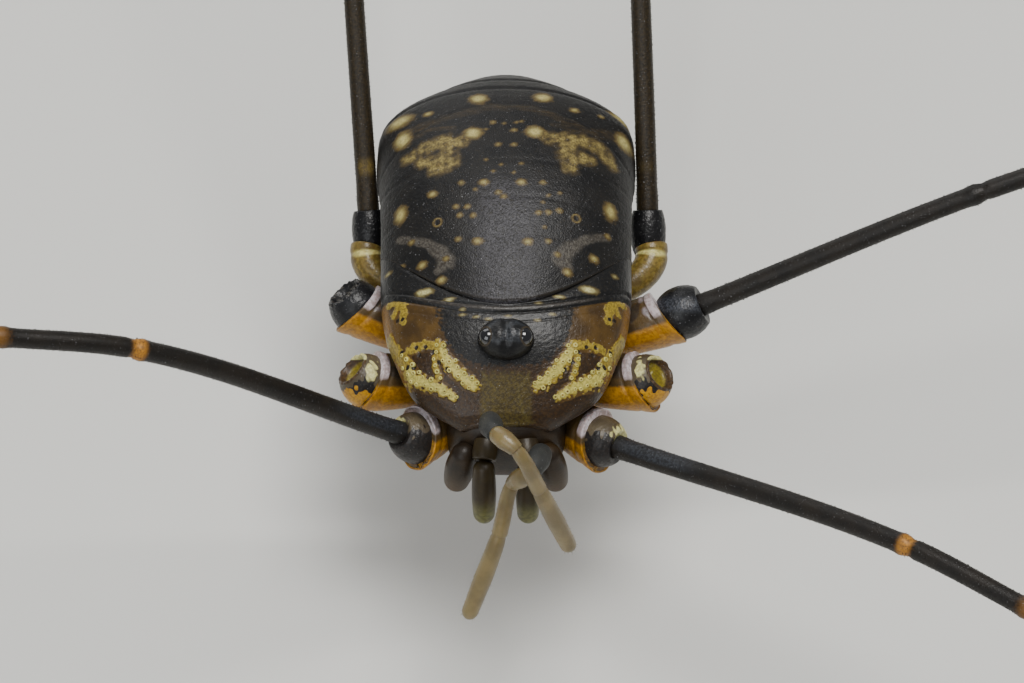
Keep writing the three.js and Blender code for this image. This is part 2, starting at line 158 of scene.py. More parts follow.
def pebbles(points, spacing, seed=0):
    """Rounded grains at the jittered corners of a cubic lattice: at each point the height, 0 to 1, of the
    nearest grain, which falls off with the square of distance. The jitter comes from a whole-number hash of
    the corner."""
    cell = np.floor(points / spacing).astype(np.int64)
    nearest = np.full(points.shape[:-1], 9.0)
    for step in np.ndindex(3, 3, 3):
        corner = cell + (np.array(step) - 1)
        key = corner @ np.array([73856093, 19349663, 83492791]) + seed * 7919
        jitter = np.stack([((key * k) >> 7) % 1024 for k in (40503, 30011, 50821)], -1) / 1024
        gap = points / spacing - corner - 0.15 - 0.7 * jitter
        nearest = np.minimum(nearest, (gap**2).sum(-1))
    return np.clip(1 - nearest / 0.45, 0, 1)


def clouds(points, size, seed=0):
    """Soft random blotches from 0 to 1: a half and the mean of nine waves of about the given size, in random
    directions."""
    rng = np.random.default_rng(seed)
    total = 0
    for _ in range(9):
        way = rng.normal(size=3)
        way *= rng.uniform(0.6, 1.7) / np.linalg.norm(way)
        total = total + np.sin(points @ way * 2 * np.pi / size + rng.uniform(0, 2 * np.pi))
    return np.clip(0.5 + total / 9, 0, 1)


def step_between(value, low, high):
    """0 below low, 1 above high, and a smooth ramp between."""
    t = np.clip((value - low) / (high - low), 0, 1)
    return t * t * (3 - 2 * t)


def skin(name, grid, paints=None, stands_for=(), material=None):
    """A closed mesh from a grid of points: columns wrap round, and the first and last rows are closed by a
    fan to their middle. Paints are values at the grid's points, kept as attributes for the material."""
    rows, columns = grid.shape[:2]
    index = np.arange(rows * columns).reshape(rows, columns)
    after = np.roll(index, -1, axis=1)
    quads = np.stack([index[:-1], after[:-1], after[1:], index[1:]], -1).reshape(-1, 4)
    first = np.full(columns, rows * columns)
    fans = np.concatenate(
        [np.stack([after[0], index[0], first], -1), np.stack([index[-1], after[-1], first + 1], -1)]
    )
    points = np.concatenate([grid.reshape(-1, 3), grid[0].mean(0)[None], grid[-1].mean(0)[None]])
    corners = points[fans]
    volume = np.einsum("ij,ij->", corners[:, 0], np.cross(corners[:, 1], corners[:, 2]))
    for a, b, c in ((0, 1, 2), (0, 2, 3)):
        volume += np.einsum("ij,ij->", points[quads[:, a]], np.cross(points[quads[:, b]], points[quads[:, c]]))
    if volume < 0:
        quads, fans = quads[:, ::-1], fans[:, ::-1]
    mesh = bpy.data.meshes.new(name)
    mesh.from_pydata(row(points).tolist(), [], quads.tolist() + fans.tolist())
    mesh.polygons.foreach_set("use_smooth", np.ones(len(mesh.polygons), bool))
    for paint, values in (paints or {}).items():
        values = np.broadcast_to(values, (rows, columns)).astype(np.float32)
        ends = [values[0].mean(), values[-1].mean()]
        layer = mesh.attributes.new(paint, "FLOAT", "POINT")
        layer.data.foreach_set("value", np.concatenate([values.ravel(), ends]).astype(np.float32))
    mesh.materials.append(material)
    piece = bpy.data.objects.new(name, mesh)
    bpy.context.collection.objects.link(piece)
    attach(piece, "root")
    if stands_for:
        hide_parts(*stands_for)
    return piece


def cuticle(
    name, ground, shade, roughness, grain, relief,
    paints=(), speckle=0.06, painted_glints=0.0, coat=0.0, glow=0.0, shine=0.3,
):
    """Hard shell. The ground colour is mottled towards its shade by noise. Each paint, (attribute, colour,
    second colour, low, high), is laid over it with a ragged edge, from nothing where the piece's own
    attribute of that name is at low to full at high. A fine pebbling of grain millimetres, relief
    millimetres deep, breaks up the gloss, and small pale glints, painted highlights in the base colour,
    are strewn over it by a finer noise."""
    made = bpy.data.materials.new(name)
    made.use_nodes = True
    nodes, links = made.node_tree.nodes, made.node_tree.links
    shader = nodes["Principled BSDF"]
    shader.inputs["Specular IOR Level"].default_value = shine
    shader.inputs["Coat Weight"].default_value = coat
    shader.inputs["Coat Roughness"].default_value = 0.22
    shader.inputs["Subsurface Weight"].default_value = glow
    shader.inputs["Subsurface Scale"].default_value = 0.0001
    place = nodes.new("ShaderNodeTexCoord").outputs["Object"]

    def noise(size, detail=4.0):
        made_noise = nodes.new("ShaderNodeTexNoise")
        made_noise.inputs["Scale"].default_value = 1 / (size * MM)
        made_noise.inputs["Detail"].default_value = detail
        links.new(place, made_noise.inputs["Vector"])
        return made_noise.outputs["Fac"]

    def ramp(value, low, high):
        spread = nodes.new("ShaderNodeMapRange")
        spread.interpolation_type = "SMOOTHSTEP"
        spread.inputs["From Min"].default_value = low
        spread.inputs["From Max"].default_value = high
        links.new(value, spread.inputs["Value"])
        return spread.outputs["Result"]

    def mix(amount, under, over):
        blend = nodes.new("ShaderNodeMix")
        blend.data_type = "RGBA"
        links.new(amount, blend.inputs["Factor"])
        for socket, colour in (("A", under), ("B", over)):
            socket = [s for s in blend.inputs if s.name == socket and s.type == "RGBA"][0]
            if isinstance(colour, tuple):
                socket.default_value = (*colour, 1.0)
            else:
                links.new(colour, socket)
        return [s for s in blend.outputs if s.type == "RGBA"][0]

    def sum_of(a, b, factor):
        scaled = nodes.new("ShaderNodeMath")
        scaled.operation = "MULTIPLY_ADD"
        links.new(b, scaled.inputs[0])
        scaled.inputs[1].default_value = factor
        links.new(a, scaled.inputs[2])
        return scaled.outputs[0]

    blotch = noise(0.35)
    speck = noise(speckle, 2.0)
    colour = mix(ramp(blotch, 0.36, 0.64), ground, shade)
    for attribute, tint, second, low, high in paints:
        source = nodes.new("ShaderNodeAttribute")
        source.attribute_name = attribute
        ragged = sum_of(source.outputs["Fac"], speck, 0.5)
        tinted = mix(ramp(speck, 0.38, 0.62), tint, second)
        colour = mix(ramp(ragged, low + 0.25, high + 0.25), colour, tinted)
    # Painted glints: pale grey specks of painted highlight mixed into the base colour at the noise's peaks.
    if painted_glints:
        spark = noise(0.022, 1.0)
        colour = mix(ramp(spark, 0.78 - painted_glints, 0.84 - painted_glints), colour, (0.22, 0.22, 0.23))
    links.new(colour, shader.inputs["Base Color"])

    uneven = nodes.new("ShaderNodeMapRange")
    uneven.inputs["To Min"].default_value = roughness - 0.06
    uneven.inputs["To Max"].default_value = roughness + 0.08
    links.new(blotch, uneven.inputs["Value"])
    links.new(uneven.outputs["Result"], shader.inputs["Roughness"])

    grains = nodes.new("ShaderNodeTexVoronoi")
    grains.feature = "SMOOTH_F1"
    grains.inputs["Scale"].default_value = 1 / (grain * MM)
    links.new(place, grains.inputs["Vector"])
    bump = nodes.new("ShaderNodeBump")
    bump.invert = True
    bump.inputs["Strength"].default_value = 1.0
    bump.inputs["Distance"].default_value = relief * MM
    links.new(grains.outputs["Distance"], bump.inputs["Height"])
    links.new(bump.outputs["Normal"], shader.inputs["Normal"])
    return made


ABDOMEN = dict(
    full_above=2.35,
    full_below=1.5,
    half=through(
        (0.6, 1.97), (1.6, 2.0), (3.2, 2.04), (4.0, 2.04), (4.4, 1.98),
        (4.7, 1.74), (5.0, 1.3), (5.3, 0.84), (5.5, 0.5), (5.6, 0.25),
    ),
    top=through(
        (0.6, 2.72), (1.4, 3.0), (2.6, 3.24), (3.6, 3.2), (4.4, 2.98),
        (5.0, 2.64), (5.3, 2.38), (5.5, 2.15), (5.6, 1.95),
    ),
    side=through((0.6, 1.95), (3.6, 1.92), (4.6, 1.85), (5.6, 1.7)),
    under=through((0.6, 0.7), (1.6, 0.42), (3.2, 0.42), (4.4, 0.65), (5.0, 1.0), (5.6, 1.5)),
    bow=through((0.6, 0.34), (2.6, 0.04), (5.6, 0)),
)
SKIN_DEPTH = 0.02  # mm, from the solids' faces down to the skin
PLATE_GROOVES = ((4.30, 0.26, 0.015), (4.78, 0.12, 0.03), (5.1, 0.1, 0.03))  # back, bow and depth, mm
AREA_GROOVES = (1.75, 2.38, 3.05)  # mm back, between the fused plates
SIDE_GROOVES = (2.3, 2.9, 3.5, 4.1, 4.6)  # mm back, down the sides
WAIST = dict(back=2.72, length=0.42, depth=0.13, half=2.03)  # mm; half is the wall's half-width there
# Marks are picked in the photograph, as (pixel across, pixel down), with their sizes in millimetres.
SPOTS = {  # cream spots, by half-width and half-length
    (0.20, 0.13): ((400, 122), (625, 120)),
    (0.14, 0.12): ((478, 99), (542, 98), (474, 133), (535, 132)),
    (0.13, 0.17): ((403, 140), (624, 143)),
    (0.10, 0.14): ((401, 215), (610, 212)),
    (0.08, 0.06): (
        (428, 114), (574, 111), (483, 182), (522, 182), (432, 194), (477, 242), (529, 242),
        (422, 266), (594, 259), (442, 281), (567, 273),
    ),
    (0.055, 0.045): (
        (601, 117), (493, 123), (515, 130), (499, 145), (514, 145), (462, 183), (543, 183), (497, 192),
        (503, 197), (456, 207), (468, 207), (459, 215), (474, 216), (538, 213), (549, 213), (559, 211),
        (459, 240), (548, 241), (398, 275), (412, 243), (607, 237), (447, 258), (557, 255),
    ),
    (0.04, 0.03): (
        (505, 123), (516, 122), (522, 122), (487, 129), (486, 160), (501, 165), (522, 164), (493, 172),
        (514, 173), (475, 190), (560, 193), (548, 195), (542, 202), (545, 227), (445, 144), (438, 165),
        (557, 140), (572, 165),
    ),
}
EYE_SPOTS = ((437, 222, 0.09, 0.035), (576, 219, 0.09, 0.035))  # ringed ones: pixel, outer and inner radius
# Lines of (pixel across, pixel down, half-width) points: brown marbling, the arc behind it, and dull muscle
# scars.
MARBLING = (
    ((536, 132, 0.06), (548, 139, 0.09), (573, 139, 0.11), (601, 150, 0.10), (611, 166, 0.08)),
    ((565, 141, 0.10), (571, 154, 0.14), (571, 167, 0.10)),
    ((571, 154, 0.12), (589, 160, 0.08)),
    ((472, 133, 0.06), (461, 142, 0.08), (449, 140, 0.10), (429, 147, 0.10), (408, 159, 0.08)),
    ((445, 143, 0.10), (449, 161, 0.13), (436, 170, 0.10)),
    ((449, 161, 0.10), (422, 163, 0.08)),
)
STREAKS = (
    (
        (408, 133, 0.10), (438, 121, 0.08), (468, 112, 0.09), (491, 107, 0.10), (532, 108, 0.09),
        (560, 119, 0.08), (589, 131, 0.08), (608, 135, 0.12),
    ),
    ((454, 128, 0.05), (431, 131, 0.06), (410, 140, 0.07)),
    ((553, 124, 0.05), (571, 129, 0.06), (600, 138, 0.07)),
)
SCARS = (
    ((399, 241, 0.045), (429, 244, 0.06), (441, 253, 0.10), (446, 262, 0.12), (438, 270, 0.06)),
    ((608, 238, 0.045), (583, 241, 0.06), (569, 250, 0.10), (561, 259, 0.12), (569, 268, 0.06)),
)
FRONT_RIM = 0.72  # mm back on the middle line: the scutum's raised front edge


def seen(points):
    """The pixels of the photograph where points show: their offsets from the camera across and up its view,
    divided by their distance along it."""
    offset = points - SIGHT_TARGET - SIGHT_BACK * CAMERA_REACH
    scale = -CAMERA_REACH * PIXELS_PER_MM / (offset @ SIGHT_BACK)
    return PHOTO_WIDTH / 2 + scale * (offset @ SIGHT_ACROSS), PHOTO_HEIGHT / 2 - scale * (offset @ SIGHT_UP)


def on_skin(over, marks, mirrored=False):
    """Marks with their pixel turned into a place, (out, back): that of the skin's upper point which shows
    nearest to it. Their sizes are kept. Mirrored marks stand on both sides, so out counts from the middle
    line."""
    shown_across, shown_down = seen(over)
    placed = []
    for pixel_across, pixel_down, *sizes in marks:
        x, y, _ = over[np.argmin(np.hypot(shown_across - pixel_across, shown_down - pixel_down))]
        placed.append((abs(x) if mirrored else x, y, *sizes))
    return placed


def ovals(across, back, marks, wander):
    """How deep each point lies in the nearest oval of a list, from 0 a little outside its rim to 1 at its
    middle. It falls off with the distance from the oval's centre in half-sizes, stretched by wander, and
    small ones are weak."""
    deep = np.zeros(across.shape)
    for x, y, half_x, half_y in marks:
        reach = np.hypot((across - x) / half_x, (back - y) / half_y) * (0.88 + 0.24 * wander)
        strength = 0.32 + 0.68 * min(1, half_x / 0.13)
        deep = np.maximum(deep, strength * np.clip((1.45 - reach) / 1.2, 0, 1))
    return deep


def near_lines(across, back, lines):
    """How deep each point lies in the nearest of some lines of (out, back, half-width) points: one less its
    distance from the line, in half-widths, which change evenly between points."""
    deep = np.full(across.shape, -3.0)
    for line in lines:
        for (x0, y0, half0), (x1, y1, half1) in zip(line, line[1:]):
            run = (x1 - x0) ** 2 + (y1 - y0) ** 2
            t = np.clip(((across - x0) * (x1 - x0) + (back - y0) * (y1 - y0)) / run, 0, 1)
            gap = np.hypot(across - x0 - t * (x1 - x0), back - y0 - t * (y1 - y0))
            deep = np.maximum(deep, 1 - gap / (half0 + (half1 - half0) * t))
    return deep


def abdomen_skin():
    """Rings closed over the vent: the wall, drawn in at the sides by a bell-shaped waist, sunk by a
    bell-shaped furrow at each groove and raised by pebbles."""
    vent = 5.6 - 0.16 * np.cos(np.linspace(0.1, np.pi / 2, 12))
    y = np.concatenate([np.linspace(0.66, 5.44, 190), vent])[:, None]
    upper = np.linspace(-0.35, np.pi + 0.35, 260)
    lower = np.linspace(np.pi + 0.35, 2 * np.pi - 0.35, 72)[1:-1]
    turn = np.concatenate([upper, lower])[None, :]
    wall = trunk_wall(ABDOMEN, y, turn, SKIN_DEPTH)
    waist = WAIST["depth"] * np.exp(-(((wall[..., 1] - WAIST["back"]) / WAIST["length"]) ** 2))
    waist = waist * step_between(-wall[..., 2], -LIFT - 2.35, -LIFT - 1.9)
    wall[..., 0] *= 1 - waist / WAIST["half"]
    out, across, back = wall[..., 0], np.abs(wall[..., 0]), wall[..., 1]
    over = wall[:, np.sin(turn[0]) > 0].reshape(-1, 3)
    on_top = step_between(wall[..., 2], LIFT + 1.8, LIFT + 2.1)
    sunk = np.zeros(across.shape)
    for place, bow, depth in PLATE_GROOVES:
        sunk = np.maximum(sunk, depth * np.exp(-(((back - place + bow * across**2) / 0.04) ** 2)))
    for place in AREA_GROOVES:
        sunk = np.maximum(sunk, 0.006 * np.exp(-(((back - place + 0.05 * across**2) / 0.04) ** 2)) * on_top)
    for place in SIDE_GROOVES:
        sunk = np.maximum(sunk, 0.03 * np.exp(-(((back - place) / 0.04) ** 2)) * (1 - on_top))
    plate = y * np.ones(across.shape)
    rim = np.exp(-(((plate - FRONT_RIM) / 0.022) ** 2))
    front_lip = 0.10 * (1 - step_between(plate, 0.66, 0.72)) - 0.014 * rim
    wander = clouds(wall, 0.1, 3)
    spot_marks = [(*pixel, *size) for size, pixels in SPOTS.items() for pixel in pixels]
    spots = ovals(out, back, on_skin(over, spot_marks), wander)
    for x, place, outer, inner in on_skin(over, EYE_SPOTS):
        reach = np.hypot(out - x, back - place)
        ring = step_between(reach, inner, inner + 0.03) * step_between(-reach, -outer, 0.03 - outer)
        spots = np.maximum(spots, 0.6 * ring)
    marbling, streaks, scars = (
        near_lines(out, back, [on_skin(over, line) for line in lines]) for lines in (MARBLING, STREAKS, SCARS)
    )
    marbling = np.clip(marbling + 1.3, 0, 1.7) * (0.30 + 0.62 * clouds(wall, 0.16, 5))
    streaks = np.clip(streaks + 0.7, 0, 1) * (0.4 + 0.6 * clouds(wall * [0.5, 2, 1], 0.2, 6))
    scars = np.clip(scars + 0.8, 0, 1.2) * (0.5 + 0.6 * clouds(wall, 0.12, 8))
    # Painted sheen: a blue-grey patch of painted reflection down the middle of the shield's top.
    sheen_patch = np.exp(-((across / 0.62) ** 2)) * step_between(-back, -3.6, -1.9)
    sheen_patch = sheen_patch * (0.75 + 0.25 * clouds(wall, 0.4, 7))
    inward = np.stack([wall[..., 0] * 0.5, np.zeros(across.shape), wall[..., 2] - LIFT - 1.7], -1)
    inward /= np.linalg.norm(inward, axis=-1, keepdims=True)
    grain = 0.005 * pebbles(wall, 0.05, 1) + 0.003 * pebbles(wall, 0.12, 2)
    height = grain + 0.012 * np.clip(spots, 0, 1) - sunk - front_lip
    paints = dict(
        spots=spots * on_top,
        marbling=marbling * on_top,
        streaks=np.maximum(streaks * on_top, 0.75 * rim * on_top),
        scars=scars * on_top,
        painted_sheen=sheen_patch * on_top,
    )
    return wall + inward * height[..., None], paints


abdomen_grid, abdomen_paints = abdomen_skin()
scutum_shell = cuticle(
    "scutum_shell",
    (0.0060, 0.0060, 0.0064), (0.0105, 0.0098, 0.0092), 0.45, 0.022, 0.006,
    [
        # painted sheen: the lamps' reflection painted in blue-grey over the shield's middle
        ("painted_sheen", (0.046, 0.044, 0.050), (0.010, 0.010, 0.011), 0.15, 0.8),
        ("scars", (0.085, 0.076, 0.062), (0.036, 0.031, 0.026), 0.2, 0.9),
        ("streaks", (0.056, 0.038, 0.016), (0.022, 0.016, 0.009), 0.25, 1.2),
        ("marbling", (0.085, 0.060, 0.022), (0.036, 0.026, 0.012), 0.15, 0.75),
        ("marbling", (0.28, 0.22, 0.070), (0.13, 0.098, 0.032), 0.50, 1.45),
        ("spots", (0.12, 0.082, 0.026), (0.06, 0.042, 0.016), 0.02, 0.35),
        ("spots", (0.50, 0.44, 0.17), (0.33, 0.28, 0.095), 0.30, 1.00),
    ],
    speckle=0.035,
    painted_glints=0.065,
)
skin("abdomen_skin", abdomen_grid, abdomen_paints, ["abdomen"], scutum_shell)


# Carapace: the shield over the front of the body, brown with gold bands that fork on each side of the black
# middle, and two narrow free plates behind it. One closed skin of rings down to the breastplate between the
# legs.
CARAPACE = dict(
    full_above=2.5,
    full_below=1.35,
    half=through(
        (-0.92, 0.74), (-0.7, 1.08), (-0.45, 1.4), (-0.2, 1.6), (0.0, 1.74),
        (0.15, 1.88), (0.35, 1.96), (0.6, 1.97),
    ),
    top=through((-0.92, 1.84), (-0.5, 2.14), (0.0, 2.5), (0.35, 2.66), (0.6, 2.72)),
    side=through((-0.92, 1.58), (-0.3, 1.66), (0.2, 1.8), (0.6, 1.95)),
    under=through((-0.92, 1.25), (-0.6, 0.9), (-0.2, 0.5), (0.6, 0.4)),
    bow=through((-0.92, 0.0), (-0.2, 0.02), (0.3, 0.2), (0.6, 0.34)),
)
# Gold, picked on the photo's left side as lines of (pixel across, pixel down, half-width) points, and
# mirrored.
INNER_BAND = (
    (440, 345, 0.055), (444, 356, 0.08), (452, 367, 0.09),
    (459, 374, 0.09), (467, 381, 0.095), (476, 387, 0.07),
)
OUTER_BAND = (
    (389, 342, 0.04), (397, 351, 0.055), (404, 359, 0.065), (409, 370, 0.075), (415, 379, 0.08),
    (425, 384, 0.08), (435, 387, 0.075), (446, 392, 0.075), (454, 398, 0.05),
)
LINK = ((409, 351, 0.06), (420, 347, 0.07), (432, 345, 0.07), (440, 346, 0.07))
BRIDGE = ((436, 356, 0.05), (436, 368, 0.05), (440, 378, 0.045))
CORNER = ((389, 306, 0.06), (397, 301, 0.08), (404, 308, 0.08), (404, 322, 0.06))
CORNER_INNER = ((397, 310, 0.07), (394, 317, 0.05))
PORES = (
    (408, 368), (414, 368), (402, 353), (417, 348), (419, 355), (426, 347), (434, 352), (439, 363),
    (447, 370), (403, 319), (397, 320),
)
FRONT_STRIPES = (  # on their own sides, these two being unlike
    (
        (531, 371, 0.04), (524, 383, 0.05), (518, 388, 0.05), (519, 396, 0.05), (521, 405, 0.05),
        (523, 413, 0.045), (529, 419, 0.04), (538, 421, 0.03),
    ),
    ((480, 370, 0.03), (497, 392, 0.045), (493, 401, 0.03)),
)
FORM_END = 0.62  # mm back on the middle line, where the form ends and the skin runs on under the scutum
TUCK_DEPTH = 0.12  # mm, down under the scutum's edge
FRONT_DROP = 0.08  # mm, down at the front margin
SEAM_BOW = 0.16  # the free plates' edges run back by this times the square of the distance out
FREE_PLATES = (0.365, 0.52, 0.655)  # mm back on the middle line: a faint fold, then the free plates' edges
FREE_PLATE_DEPTHS = (0.008, 0.030, 0.035)  # mm
FLECKS = {  # cream flecks round the free plates, by half-width and half-length
    (0.14, 0.06): ((424, 292), (589, 290)),
    (0.10, 0.03): ((449, 299), (559, 297)),
    (0.06, 0.04): ((388, 275), (615, 277)),
    (0.06, 0.025): (
        (462, 315), (476, 317), (489, 319), (507, 316), (553, 314), (537, 320),
        (463, 309), (515, 301), (513, 320), (539, 303),
    ),
}
carapace_rings = np.concatenate(
    [-0.92 + 0.06 * (1 - np.cos(np.linspace(0, np.pi / 2, 8))), np.linspace(-0.855, 0.84, 170)]
)[:, None]
carapace_turn = np.concatenate(
    [np.linspace(-0.3, np.pi + 0.3, 330), np.linspace(np.pi + 0.3, 2 * np.pi - 0.3, 60)[1:-1]]
)[None, :]
carapace_wall = trunk_wall(CARAPACE, np.minimum(carapace_rings, FORM_END), carapace_turn, SKIN_DEPTH)
carapace_wall[..., 1] += np.maximum(carapace_rings - FORM_END, 0)
carapace_over = carapace_wall[:, np.sin(carapace_turn[0]) > 0].reshape(-1, 3)
inner_band, outer_band, link, bridge, corner_line, corner_inner = (
    on_skin(carapace_over, line, mirrored=True)
    for line in (INNER_BAND, OUTER_BAND, LINK, BRIDGE, CORNER, CORNER_INNER)
)


def carapace_skin():
    """Rings from the front margin back under the scutum's edge: the wall, lowered at the seams of the free
    plates and under the scutum, raised along the gold bands, and pebbled."""
    y, wall = carapace_rings, carapace_wall
    out, across, back = wall[..., 0], np.abs(wall[..., 0]), wall[..., 1]
    seam = back - SEAM_BOW * across**2
    plate = y * np.ones(across.shape)
    half_here = CARAPACE["half"](np.minimum(y, FORM_END)) * np.ones(across.shape)
    on_top = step_between(wall[..., 2] - LIFT - CARAPACE["side"](np.minimum(y, FORM_END)), -0.04, 0.06)
    wander = clouds(wall, 0.09, 31)
    ragged = 0.7 * (wander - 0.5)
    folds = zip(FREE_PLATES, FREE_PLATE_DEPTHS)
    sunk = sum(depth * np.exp(-(((seam - edge) / 0.016) ** 2)) for edge, depth in folds) * on_top
    bands = near_lines(across, back, (inner_band, outer_band, link, bridge))
    lobes = 0.5 * pebbles(wall, 0.10, 21)
    gold = step_between(bands + ragged + lobes, 0.0, 0.5)
    mustard = near_lines(across, back, (link, bridge, corner_line, corner_inner)) + ragged
    corner = step_between(near_lines(across, back, (corner_line, corner_inner)) + 1.2 * ragged, -0.2, 0.5)
    bright = near_lines(across, back, (inner_band, outer_band[3:]))
    bright = step_between(bright + ragged, 0.0, 0.8) * (1 - step_between(mustard, 0.2, 0.8))
    edge = -0.24 + 0.45 * (np.minimum(across, 1.3) / 1.03) ** 3.6
    black = step_between(plate - edge + 0.10 * (wander - 0.5), -0.03, 0.06)
    black = black * step_between(0.2 * (wander - 0.5) - across, -1.28, -0.80)
    black = np.maximum(black, step_between(seam, FREE_PLATES[1] - 0.02, FREE_PLATES[1] + 0.02))
    fade = step_between(-plate + 0.10 * (wander - 0.5), 0.20, 0.42) * step_between(-across, -0.5, -0.3)
    ridge = np.exp(-(((seam - 0.59) / 0.035) ** 2)) * step_between(-across, -1.75, -1.2)
    fleck_marks = [(*pixel, *size) for size, pixels in FLECKS.items() for pixel in pixels]
    flecks = ovals(out, back, on_skin(carapace_over, fleck_marks), wander)
    pores = np.zeros(across.shape)
    for x, place in on_skin(carapace_over, PORES, mirrored=True):
        pores = np.maximum(pores, np.clip(1.6 - np.hypot(across - x, back - place) / 0.028, 0, 1))
    stripes = near_lines(out, back, [on_skin(carapace_over, line) for line in FRONT_STRIPES])
    stripes = np.clip(stripes + ragged + 0.3, 0, 1)
    dusk = np.exp(-(((across - 0.55) / 0.22) ** 2 + ((back + 0.70) / 0.14) ** 2))
    margin = step_between(across / half_here, 0.90, 0.97)
    margin = 0.8 * margin * (1 - step_between(plate, 0.28, 0.36)) * step_between(plate, -0.45, -0.15)
    height = (
        0.004 * pebbles(wall, 0.06, 2) + 0.022 * gold + 0.012 * corner + 0.012 * ridge
        - 0.02 * pores - sunk - TUCK_DEPTH * step_between(plate, 0.66, 0.74)
        - FRONT_DROP * (1 - step_between(plate, -0.92, -0.82))
    ) * on_top
    inward = np.stack([wall[..., 0] * 0.5, np.zeros(across.shape), wall[..., 2] - LIFT - 1.2], -1)
    inward /= np.linalg.norm(inward, axis=-1, keepdims=True)
    light = 1 - black
    between = 0.7 * step_between(-bands, 0.15, 0.5) * step_between(-mustard, -0.1, 0.6) * (plate < 0)
    paints = dict(
        dusk=np.maximum(dusk, between),
        margin=margin * on_top,
        fade=fade * on_top,
        mustard=np.maximum(gold, corner) * on_top * light,
        bright=bright * gold * on_top * light,
        stripes=0.7 * stripes * on_top,
        black=black * (1 - fade) * on_top,
        ridge=ridge * on_top,
        flecks=flecks * on_top,
        pores=pores * on_top,
    )
    return wall + inward * height[..., None], paints


carapace_grid, carapace_paints = carapace_skin()
carapace_shell = cuticle(
    "carapace_shell",
    (0.092, 0.050, 0.011), (0.046, 0.025, 0.007), 0.38, 0.022, 0.004,
    [
        ("dusk", (0.040, 0.021, 0.007), (0.022, 0.012, 0.006), 0.2, 0.7),
        ("margin", (0.24, 0.118, 0.012), (0.15, 0.070, 0.009), 0.2, 0.9),
        ("fade", (0.075, 0.054, 0.011), (0.040, 0.028, 0.008), 0.2, 0.9),
        ("mustard", (0.33, 0.24, 0.030), (0.20, 0.140, 0.018), 0.25, 0.7),
        ("bright", (0.54, 0.47, 0.115), (0.38, 0.33, 0.072), 0.2, 0.8),
        ("stripes", (0.22, 0.19, 0.05), (0.12, 0.10, 0.028), 0.5, 1.3),
        ("black", (0.0060, 0.0060, 0.0064), (0.0095, 0.0092, 0.0090), 0.1, 0.8),
        ("ridge", (0.044, 0.038, 0.032), (0.020, 0.017, 0.015), 0.3, 0.8),
        ("flecks", (0.12, 0.09, 0.030), (0.06, 0.045, 0.018), 0.02, 0.35),
        ("flecks", (0.52, 0.50, 0.24), (0.34, 0.30, 0.12), 0.30, 0.90),
        ("pores", (0.014, 0.009, 0.004), (0.020, 0.012, 0.006), 0.3, 0.7),
    ],
    speckle=0.04,
    painted_glints=0.05,
    coat=0.12,
)
skin("carapace_skin", carapace_grid, carapace_paints, ["carapace"], carapace_shell)


# Ringed granules: pale cuticle beads with a dark pit, standing close along the gold bands.
def carapace_top(x, y):
    """The height of the carapace over a place: the ring is found by stepping back by its bow a few times,
    and the wall's height on that ring follows from its half-width and fullness."""
    ring = y.copy()
    for _ in range(14):
        ring = 0.5 * ring + 0.5 * (y - CARAPACE["bow"](ring) * x * x)
    share = np.clip(np.abs(x) / CARAPACE["half"](ring), 0, 0.999) ** CARAPACE["full_above"]
    side = CARAPACE["side"](ring)
    return LIFT + side + (CARAPACE["top"](ring) - side) * (1 - share) ** (1 / CARAPACE["full_above"])


def joined(name, shape_points, shape_faces, frames, spots, material, paints=None):
    """Many small copies of one shape in a single mesh: each copy's points are the shape's, taken along the
    three axes of its frame (origin, side, forward, up). On the map for baking, each is a patch 0.003 across
    at its spot, the place of its root on an unwrap of what it grows from."""
    origin, side, forward, up = frames
    points = (
        origin[:, None]
        + shape_points[None, :, :1] * side[:, None]
        + shape_points[None, :, 1:2] * forward[:, None]
        + shape_points[None, :, 2:] * up[:, None]
    )
    faces = shape_faces[None] + (np.arange(len(origin)) * len(shape_points))[:, None, None]
    faces = faces.reshape(-1, shape_faces.shape[1])
    mesh = bpy.data.meshes.new(name)
    mesh.from_pydata(row(points.reshape(-1, 3)).tolist(), [], faces.tolist())
    mesh.polygons.foreach_set("use_smooth", np.ones(len(mesh.polygons), bool))
    reach = np.abs(shape_points).max()
    spread = (shape_points[:, :2] + shape_points[:, 2:] * 0.5) / reach * 0.001
    place = (np.asarray(spots)[:, None] + spread[None]).reshape(-1, 2)
    bake_map = mesh.uv_layers.new(name="OFBake")
    bake_map.data.foreach_set("uv", place[faces.ravel()].astype(np.float32).ravel())
    for paint, values in (paints or {}).items():
        layer = mesh.attributes.new(paint, "FLOAT", "POINT")
        layer.data.foreach_set("value", np.tile(values, len(origin)).astype(np.float32))
    mesh.materials.append(material)
    piece = bpy.data.objects.new(name, mesh)
    bpy.context.collection.objects.link(piece)
    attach(piece, "root")
    return piece


def bead_shape(profile, sides):
    """A turned bead, closed below and above by a fan to a point: its profile is the lower point's height,
    then (radius, height) rings, then the upper point's height."""
    low, *rings, high = profile
    turn = np.linspace(0, 2 * np.pi, sides, endpoint=False)
    points = [np.stack([r * np.cos(turn), r * np.sin(turn), np.full(sides, h)], -1) for r, h in rings]
    points += [np.array([[0, 0, low], [0, 0, high]])]
    index = np.arange(len(rings) * sides).reshape(len(rings), sides)
    after = np.roll(index, -1, axis=1)
    bottom = np.full(sides, len(rings) * sides)
    walls = [(index[:-1], after[:-1], after[1:]), (index[:-1], after[1:], index[1:])]
    ends = [(after[0], index[0], bottom), (index[-1], after[-1], bottom + 1)]
    faces = [np.stack(f, -1).reshape(-1, 3) for f in walls + ends]
    return np.concatenate(points), np.concatenate(faces)


